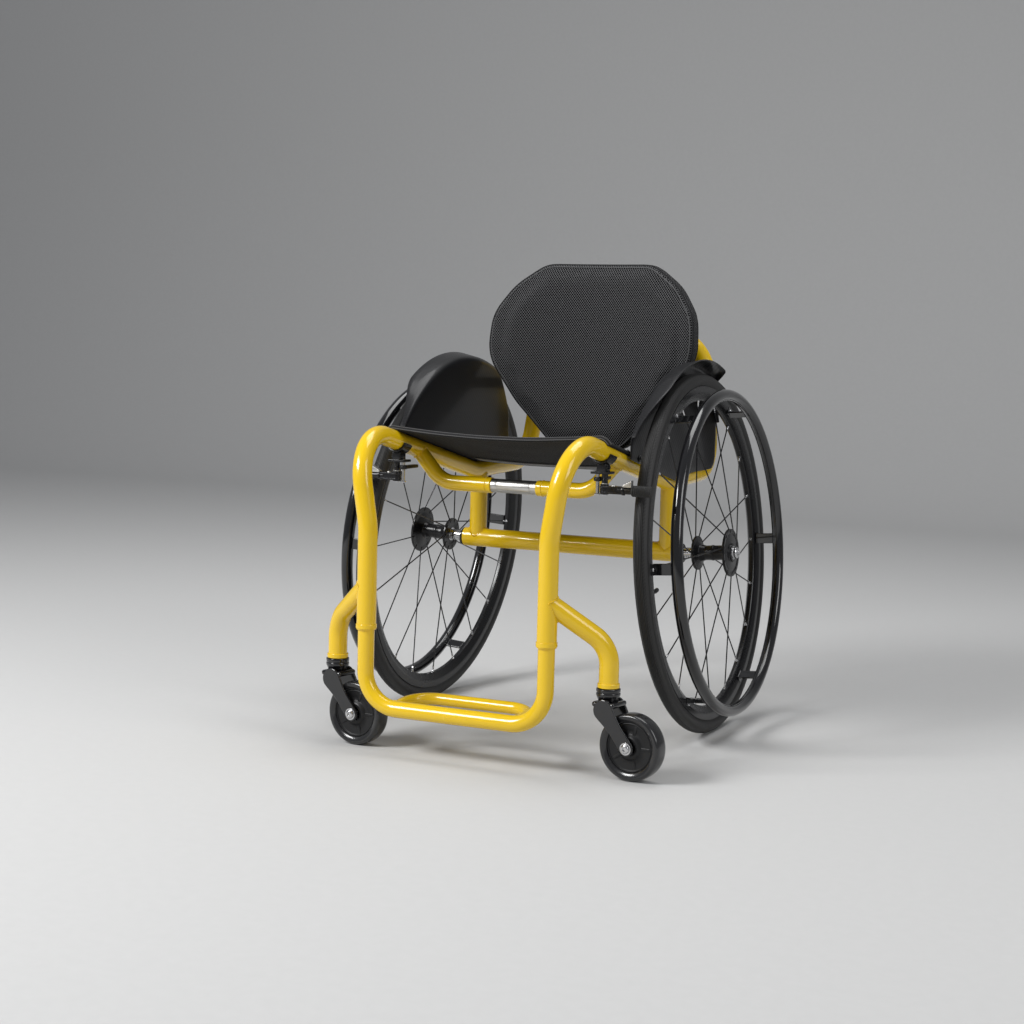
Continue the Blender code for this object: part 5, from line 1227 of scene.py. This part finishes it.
def flatten(source):
    """Replace an object's mesh by what its modifiers make of it, and drop them."""
    graph = bpy.context.evaluated_depsgraph_get()
    mesh = bpy.data.meshes.new_from_object(source.evaluated_get(graph))
    source.modifiers.clear()
    source.data = mesh


def swell(source, pressure, cap_out, cap_in=0.0012):
    """Blow a closed cover up as cloth, with each point held within a distance of where it was."""
    last = 20
    before = [(v.co.copy(), v.normal.copy()) for v in source.data.vertices]
    cloth = source.modifiers.new("Swell", "CLOTH")
    cloth.settings.quality = 5
    cloth.settings.tension_stiffness = cloth.settings.compression_stiffness = 18
    cloth.settings.bending_stiffness = 0.6
    cloth.settings.use_pressure = True
    cloth.settings.uniform_pressure_force = pressure
    cloth.settings.effector_weights.gravity = 0
    cloth.point_cache.frame_start, cloth.point_cache.frame_end = 1, last
    for step in range(1, last + 1):
        bpy.context.scene.frame_set(step)
    flatten(source)
    bpy.context.scene.frame_set(1)
    for vert, (start, out) in zip(source.data.vertices, before):
        move = vert.co - start
        reach = cap_out if move.dot(out) > 0 else cap_in
        if move.length > reach:
            vert.co = start + move.normalized() * reach


def back_pad():
    """The padded back: a swollen mesh-covered cushion with a bound edge and a line of piping."""
    bm = bmesh.new()
    loops = ringed_skin(bm, [[(x, depth, z) for x, z in outline_points(share, 96)]
                             for share, depth in COVER_DEPTHS])
    cap(bm, loops[0], loops[-1])
    made = piece("padded_back_cushion", bm, PAD_MESH, "frame", "mesh_fabric", "back_pad")
    grid = made.modifiers.new("Even", "REMESH")
    grid.mode, grid.voxel_size = "VOXEL", COVER_VOXEL
    flatten(made)
    for vert in made.data.vertices:
        vert.co = on_pad(vert.co.x, vert.co.z, vert.co.y)
    swell(made, 4.0, 0.006)
    smooth = bmesh.new()
    smooth.from_mesh(made.data)
    for _ in range(2):
        bmesh.ops.smooth_vert(smooth, verts=smooth.verts, factor=0.5, use_axis_x=True, use_axis_y=True,
                              use_axis_z=True)
    for vert in smooth.verts:
        x, y, z = vert.co
        vert.co.y = min(y, AXLE_Y + pad_face(x, z) + PAD_THICK + GAP - 0.0004)
    bmesh.ops.recalc_face_normals(smooth, faces=smooth.faces)
    unroll(smooth, on_cover())
    tree = BVHTree.FromBMesh(smooth)
    smooth.to_mesh(made.data)
    smooth.free()
    made.data.materials.clear()
    made.data.materials.append(PAD_MESH)
    made.data.shade_smooth()
    finer = made.modifiers.new("Finer", "SUBSURF")
    finer.levels = finer.render_levels = 1

    def cord_on_skin(bm, share, depth, proud, radius):
        points = []
        for x, z in outline_points(share, 180):
            found, normal, _, _ = tree.find_nearest(on_pad(x, z, depth))
            points.append(found + normal * proud)
        cord_along(bm, points, radius, 8, True)
    bm = bmesh.new()
    cord_on_skin(bm, PIPING_SHARE, 0.0040, 0.0002, 0.0011)
    piece("back_cushion_piping", bm, PIPING_AND_EDGE_HIGHLIGHT, "frame", "mesh_fabric", crease=70)
    bm = bmesh.new()
    for depth in (0.0120, 0.0385):
        cord_on_skin(bm, 1.0, depth, 0.0, 0.0014)
    piece("back_cushion_seams", bm, BINDING, "frame", "mesh_fabric", crease=70)


def back_shell():
    """The carbon shell behind the cushion."""
    depth = PAD_THICK + GAP + SHELL_THICK / 2
    bm = bmesh.new()
    loops = ringed_skin(bm, [[on_pad(x, z, depth) for x, z in outline_points(share, 96, PAD_CORNERS)]
                             for share in SHELL_SHARES])
    cap(bm, loops[-1])
    made = piece("carbon_back_shell", bm, SHELL_CARBON, "frame", "carbon_sheet", "back_shell")
    thick_sheet(made, SHELL_THICK, 0.0008)


def back_brackets():
    """The two brackets that are bolted to the shell and clamp the canes."""
    plate_gap, half, groove_r = 0.003, COLLAR_HEIGHT / 2, COLLAR_R - 0.0008
    for side, sign in SIDES:
        x, behind, z = cane_at(BRACKET_Z)
        cane = at(sign * x, behind, z)
        lean = Vector((-sign * HOOP_LEAN_IN, HOOP_LEAN_BACK, 1)).normalized()
        bm = bmesh.new()
        turned(bm, [(TUBE_R + GAP, half), (COLLAR_R, half), (COLLAR_R, 0.0012), (groove_r, 0.0006),
                    (groove_r, -0.0006), (COLLAR_R, -0.0012), (COLLAR_R, -half), (TUBE_R + GAP, -half)],
               facing(cane, lean), 48, 0.0006, closed=True)
        back = PAD_THICK + 2 * GAP + SHELL_THICK + plate_gap
        foot = on_pad(sign * BRACKET_FOOT_X, BRACKET_Z, back)
        along = Vector((1, -sign * BRACKET_FOOT_X / PAD_HOLLOW_R, 0)).normalized()
        lift = Vector((0, PAD_LEAN, 1)).normalized()
        out = along.cross(lift).normalized() * -1
        block(bm, (0.027, 0.0056, 0.030), Matrix.Translation(foot) @ axes(along, out, lift), 0.0012, 3)
        reach = cane - foot
        heading = reach.normalized()
        wide = UP.cross(heading).normalized()
        arm = Matrix.Translation(foot + reach * 0.43) @ axes(heading, wide, heading.cross(wide))
        block(bm, (reach.length * 0.84, 0.006, 0.020), arm, 0.0012, 3)
        piece(f"{side}_back_clamp_bracket", bm, ANODISED, "frame", "black_anodised", f"{side}_back_bracket")
        bm = bmesh.new()
        for height in (-0.0095, 0.0095):
            socket_screw(bm, facing(foot + out * 0.0028 + lift * height, out), PLATE_SCREW)
        for height in (-0.0060, 0.0060):
            seat = cane + lean * height + REARWARD * (COLLAR_R - SUNK)
            socket_screw(bm, facing(seat, REARWARD), COLLAR_SCREW)
        piece(f"{side}_bracket_screws", bm, STEEL, "frame", "polished_steel")


# Seat

def rail_height(behind):
    """Height of the rail's centre line, with its lowest bend rounded."""
    reach = SIDE_RADII[2] * tan((RAIL_SLOPE + REAR_SLOPE) / 2)
    off = behind + RAIL_LOW_AHEAD
    if off < -reach:
        return rail_z(behind)
    if off > reach:
        return rear_z(behind)
    share = (off + reach) / (2 * reach)
    start, end = rail_z(-RAIL_LOW_AHEAD - reach), rear_z(reach - RAIL_LOW_AHEAD)
    return (1 - share) ** 2 * start + 2 * share * (1 - share) * RAIL_LOW_Z + share ** 2 * end


def sling_place(across, behind, lift):
    """A place on the sling: across runs along the cloth from rail to rail, 1 at each rail's top."""
    rail, stand_off = rail_height(behind), (TUBE_R + GAP) / cos(RAIL_SLOPE)
    over = abs(across) - 1
    if over > 0:
        side = 1 if across > 0 else -1
        radius = TUBE_R + GAP + SLING_THICK / 2 + lift
        angle = over * SLING_WRAP
        return at(side * (RAIL_X + radius * sin(angle)), behind, rail + radius * cos(angle) / cos(RAIL_SLOPE))
    share = (behind + SLING_FRONT_AHEAD) / SLING_LENGTH
    sag = SLING_SAG_FRONT + (SLING_SAG_REAR - SLING_SAG_FRONT) * share
    ripple = 0.0011 * noise.noise(Vector((across * 2.2, behind * 16, 1.7))) * (1 - across ** 4)
    pull = 0.0009 * sin(behind * 95) * across ** 6 * (1 - abs(across))
    upper = (SLING_THICK / 2 + lift) / cos(RAIL_SLOPE)
    return at(across * RAIL_X, behind, rail + stand_off + upper - sag * (1 - across ** 2) + ripple + pull)


def sling_across(share):
    """From a share of the cloth, -1 to 1, to its place across: 1 is a rail's top and 2 the cloth's edge."""
    if abs(share) < FLAT_SHARE:
        return share / FLAT_SHARE
    return (1 if share > 0 else -1) * (1 + (abs(share) - FLAT_SHARE) / (1 - FLAT_SHARE))


def seat_cloth():
    """The one cloth that is stretched over both rails."""
    bm = bmesh.new()
    bmesh.ops.create_grid(bm, x_segments=72, y_segments=64, size=0.5)
    spread = {}
    for vert in bm.verts:
        across, behind = sling_across(vert.co.x * 2), -SLING_FRONT_AHEAD + (vert.co.y + 0.5) * SLING_LENGTH
        over = max(0.0, abs(across) - 1)
        run = min(1.0, abs(across)) * RAIL_X + over * SLING_WRAP * (TUBE_R + SLING_THICK)
        spread[vert] = (run if across > 0 else -run, behind)
        vert.co = sling_place(across, behind, 0.0)
    unroll(bm, lambda vert, middle: spread[vert])
    made = piece("seat_sling_cloth", bm, SEAT_CLOTH, "frame", "seat_fabric", "seat_sling")
    thick_sheet(made, SLING_THICK)
    return made


def seat_strap():
    """The webbing strap under the cloth."""
    bm = bmesh.new()
    bmesh.ops.create_grid(bm, x_segments=40, y_segments=3, size=0.5)
    for vert in bm.verts:
        vert.co = sling_place(vert.co.x * STRAP_REACH, STRAP_BEHIND + vert.co.y * STRAP_WIDE, -0.0024)
    unroll(bm, lambda vert, middle: (vert.co.x, vert.co.y))
    strap = piece("seat_sling_under_strap", bm, STRAP, "frame", "seat_fabric")
    thick_sheet(strap, STRAP_THICK)
    return strap


def seat_sling():
    """The seat: one cloth stretched over both rails, its edges hemmed and screwed down."""
    made = seat_cloth()
    spots = [sling_across(-1 + k / 48) for k in range(97)]
    hems, lines = bmesh.new(), bmesh.new()
    front, rear = -SLING_FRONT_AHEAD, SLING_REAR_BEHIND
    for bm, behind, lift, size, sides in ((hems, front + 0.0015, 0.0008, 0.0032, 10),
                                          (hems, rear - 0.001, 0.0008, 0.0022, 10),
                                          (lines, front + 0.0010, 0.0042, 0.0008, 8),
                                          (lines, front - 0.0018, 0.0002, 0.0008, 8)):
        cord_along(bm, [sling_place(across, behind, lift) for across in spots], size, sides)
    hem = piece("seat_sling_hems", hems, BINDING, "frame", "seat_fabric", crease=70)
    # Painted highlight: the two light cords along the cloth's front edge stand in for the highlight on its
    # rounded edge.
    line = piece("seat_sling_painted_highlight_cords", lines, PIPING_AND_EDGE_HIGHLIGHT, "frame", "seat_fabric", crease=70)
    strap = seat_strap()
    screws, count, inset = bmesh.new(), 6, 0.018
    for _, sign in SIDES:
        for k in range(count):
            behind = front + inset + k * (SLING_LENGTH - 2 * inset) / (count - 1)
            place = sling_place(sign * 1.62, behind, 0.0013)
            middle = Vector((sign * RAIL_X, place.y, rail_height(behind)))
            socket_screw(screws, facing(place, (place - middle).normalized()), SLING_SCREW)
    piece("seat_sling_screws", screws, GLOSS, "frame", "black_anodised")


# Brakes

def open_clamp(bm, place, inner, outer, length, turn):
    """A C-shaped clamp round a tube along the place's Z, closed round the place's -X."""
    start = pi - turn / 2
    shape = bmesh.new()
    ends = [shape.verts.new((r * cos(start), r * sin(start), -length / 2)) for r in (inner, outer)]
    sweep(shape, [shape.edges.new(ends)], (0, 0, 0), UP, turn, 30)
    thicken(shape, length)
    bmesh.ops.recalc_face_normals(shape, faces=shape.faces)
    sharp = [e for e in shape.edges if len(e.link_faces) == 2 and e.calc_face_angle(0) > radians(50)]
    soften(shape, sharp, 0.0008)
    add(bm, shape, place)


def brakes():
    """Each brake: the clamp round the rail with its plate, the bolts, the shoe's arm and the hand lever."""
    off_rail = Vector((0, sin(RAIL_SLOPE), cos(RAIL_SLOPE)))
    turn = axes(off_rail, ALONG_RAIL.cross(off_rail), ALONG_RAIL)
    rail = rail_z(-BRAKE_AHEAD)
    neck_top = rail - TUBE_R - 0.0008
    neck_middle, neck_height = (neck_top + BRAKE_PLATE_Z) / 2, neck_top - BRAKE_PLATE_Z

    for side, sign in SIDES:
        def spot(inboard, z, behind=-BRAKE_AHEAD):
            return at(sign * (RAIL_X - inboard), behind, z)
        arm_in, lever_in = -BRAKE_ARM_OUT, BRAKE_LEVER_IN
        bm = bmesh.new()
        round_rail = Matrix.Translation(spot(0, rail)) @ turn
        open_clamp(bm, round_rail, TUBE_R + GAP, COLLAR_R, COLLAR_HEIGHT, radians(156))
        block(bm, (0.015, 0.020, neck_height), Matrix.Translation(spot(0, neck_middle)), 0.0018, 3)
        block(bm, (0.031, 0.022, 0.004), Matrix.Translation(spot(0.001, BRAKE_PLATE_Z)), 0.0010, 3)
        for shift in (-0.0050, 0.0050):
            seat = spot(-0.0074, neck_middle + 0.0005, shift - BRAKE_AHEAD)
            socket_screw(bm, facing(seat, LEFTWARD * sign), CLAMP_SCREW)
        low, ring, top = BRAKE_Z + 0.0098, BRAKE_Z + 0.0158, BRAKE_PLATE_Z - 0.0018
        turned(bm, [(PIVOT_BORE_R, low), (0.0044, low), (0.0048, low + 0.0006), (0.0048, ring - 0.0006),
                    (0.0042, ring), (0.0042, ring + 0.0010), (0.0048, ring + 0.0016), (0.0048, top),
                    (PIVOT_BORE_R, top)], Matrix.Translation(spot(arm_in, 0)), 32, 0.0002, closed=True)
        piece(f"{side}_brake_saddle", bm, ANODISED, "frame", "black_anodised", f"{side}_brake_clamp")
        bolts = bmesh.new()
        for inboard in (arm_in, lever_in):
            bar(bolts, spot(inboard, 0.4085), spot(inboard, BRAKE_PLATE_Z + 0.0028), 0.0029, 20, 0.0003)
            hexagon_nut(bolts, spot(inboard, 0.4058), 0.0046, 0.0029)
        hexagon_nut(bolts, spot(arm_in, BRAKE_PLATE_Z + 0.0018), 0.0042, 0.0030)
        piece(f"{side}_brake_bolts", bolts, STEEL, "frame", "polished_steel")
        brake_arm(side, sign, spot(arm_in, BRAKE_Z))
        bm = bmesh.new()
        place = spun(Matrix.Translation(spot(lever_in, BRAKE_Z + 0.0150)), pi / 2)
        link(bm, 0.038, 0.0062, 0.0058, 0.0050, place, 0.0012)
        washer(bm, place, PIVOT_BORE_R, 0.0056, 0.0032, -0.0030, 28, 0.0004)
        piece(f"{side}_brake_hand_lever", bm, PLASTIC, f"{side}_lever", "black_anodised",
              f"{side}_brake_lever")


def brake_arm(side, sign, pivot):
    """Pivot barrel, paired links, stop wedge and the ringed shoe that presses the tyre."""
    body, out = f"{side}_shoe_arm", LEFTWARD * sign
    place = spun(Matrix.Translation(pivot), 0 if sign > 0 else pi)
    bm = bmesh.new()
    for height in (-0.0042, 0.0042):
        link(bm, 0.027, 0.0074, 0.0064, 0.0032, moved(place, z=height), 0.0006)
    link(bm, 0.024, 0.0056, 0.0050, 0.0056, place, 0.0004)
    turned(bm, [(PIVOT_BORE_R, -0.0072), (0.0064, -0.0072), (0.0064, -0.0056), (0.0070, -0.0050),
                (0.0070, 0.0050), (0.0064, 0.0056), (0.0064, 0.0078), (0.0056, 0.0084),
                (PIVOT_BORE_R, 0.0084)], Matrix.Translation(pivot), 32, 0.0003, closed=True)
    bar(bm, pivot + out * 0.022, pivot + out * 0.0520, 0.0056, 28, 0.0004)
    turned(bm, [(0.0050, -0.0012), (0.0074, -0.0004), (0.0074, 0.0030), (0.0056, 0.0038)],
           facing(pivot + out * 0.0295, out), 28, 0.0003)
    piece(f"{side}_brake_link", bm, ANODISED, body, "black_anodised", f"{side}_brake_shoe_arm")
    rings = [(0.0, -0.0004), (0.0070, -0.0004), (0.0080, 0.0006)]
    for h in (0.0012 + k * 0.0033 for k in range(9)):
        rings += [(0.0085, h), (0.0085, h + 0.0016), (0.0076, h + 0.0021), (0.0076, h + 0.0028)]
    bm = bmesh.new()
    rings += [(0.0080, 0.0312), (0.0072, 0.0318), (0.0, 0.0318)]
    turned(bm, rings, facing(pivot + out * 0.0450, out), 36)
    piece(f"{side}_brake_shoe_grip", bm, GRIP_RUBBER, body, "tyre_rubber")
    wedge = bmesh.new()
    bmesh.ops.create_cube(wedge, size=1)
    bmesh.ops.scale(wedge, vec=(0.0150, 0.0095, 0.0110), verts=wedge.verts)
    for vert in wedge.verts:
        if vert.co.x < 0 and vert.co.z > 0:
            vert.co.z *= -0.55
    soften(wedge, wedge.edges[:], 0.0006)
    bm = bmesh.new()
    add(bm, wedge, moved(place, 0.0370, 0, 0.0106))
    socket_screw(bm, moved(place, 0.0140, 0, 0.0057), WEDGE_SCREW)
    washer(bm, Matrix.Translation(pivot + UP * 0.0085), 0.0031, 0.0052, 0.0, 0.0010, 24, 0.0002)
    piece(f"{side}_brake_wedge", bm, SLEEVE, body, "polished_steel")


# Studio

def pale_floor():
    """A pale floor that turns up into a pale wall."""
    half_width, depth, cove_r, wall = 7, 10.5, 1.6, 6
    bm = bmesh.new()
    front = [bm.verts.new((x, -half_width, 0)) for x in (-half_width, half_width)]
    line = grow(bm, [bm.edges.new(front)], REARWARD * depth)
    line = sweep(bm, line, (0, depth - half_width, cove_r), LEFTWARD, pi / 2, 16)
    grow(bm, line, UP * wall)
    bmesh.ops.recalc_face_normals(bm, faces=bm.faces)
    mesh = bpy.data.meshes.new("studio_floor")
    bm.to_mesh(mesh)
    bm.free()
    mesh.shade_smooth()
    paper = Finish("pale_paper", Specular_IOR_Level=0.2)
    grain = paper.speckle(paper.place, 60.0, 4.0)
    paper.shade(grain, (0.55, 0.55, 0.545), (0.59, 0.59, 0.585))
    paper.feed("Roughness", paper.ranged(grain, 0.75, 0.9))
    mesh.materials.append(paper.material)
    floor = show("studio_floor", mesh)


def lights():
    """A pale room and three soft boxes, each as place, power, width and height."""
    world = bpy.data.worlds.new("soft_room")
    world.use_nodes = True
    background = world.node_tree.nodes["Background"]
    background.inputs[0].default_value = (0.93, 0.95, 1.0, 1)
    background.inputs[1].default_value = 0.26
    bpy.context.scene.world = world
    bpy.context.scene.view_settings.view_transform = "Standard"
    aim = Vector((0, 0, 0.35))
    for name, spot, power, wide, tall in (("key_softbox", (-2.0, -2.6, 2.5), 135, 1.5, 1.2),
                                          ("side_softbox", (3.0, -0.9, 1.9), 30, 1.2, 1.9),
                                          ("top_softbox", (0.2, 0.6, 3.4), 46, 2.4, 1.6)):
        lamp = bpy.data.lights.new(name, "AREA")
        lamp.shape, lamp.size, lamp.size_y, lamp.energy = "RECTANGLE", wide, tall, power
        show(name, lamp).matrix_world = facing(Vector(spot), Vector(spot) - aim)


def camera():
    """The photograph's view: from the front and the chair's left, a little above the seat."""
    azimuth, pitch, roll = radians(25.07), radians(-5.67), radians(1.40)
    ahead = Vector((-sin(azimuth) * cos(pitch), cos(azimuth) * cos(pitch), sin(pitch)))
    right = Vector((cos(azimuth), sin(azimuth), 0))
    up = right.cross(ahead)
    turn = axes(cos(roll) * right + sin(roll) * up, -sin(roll) * right + cos(roll) * up, -ahead)
    eye = bpy.data.cameras.new("photo_camera")
    eye.sensor_width, eye.lens = 36.0, 64.2
    made = show("photo_camera", eye)
    made.matrix_world = Matrix.Translation((1.216, -2.762, 0.650)) @ turn
    bpy.context.scene.camera = made


for build in (camera, pale_floor, lights, side_tubes, back_hoop, foot_tubes, caster_arms, cross_tubes,
              axle_beam, rear_wheels, casters, side_guards, back_pad, back_shell, back_brackets, seat_sling,
              brakes):
    build()
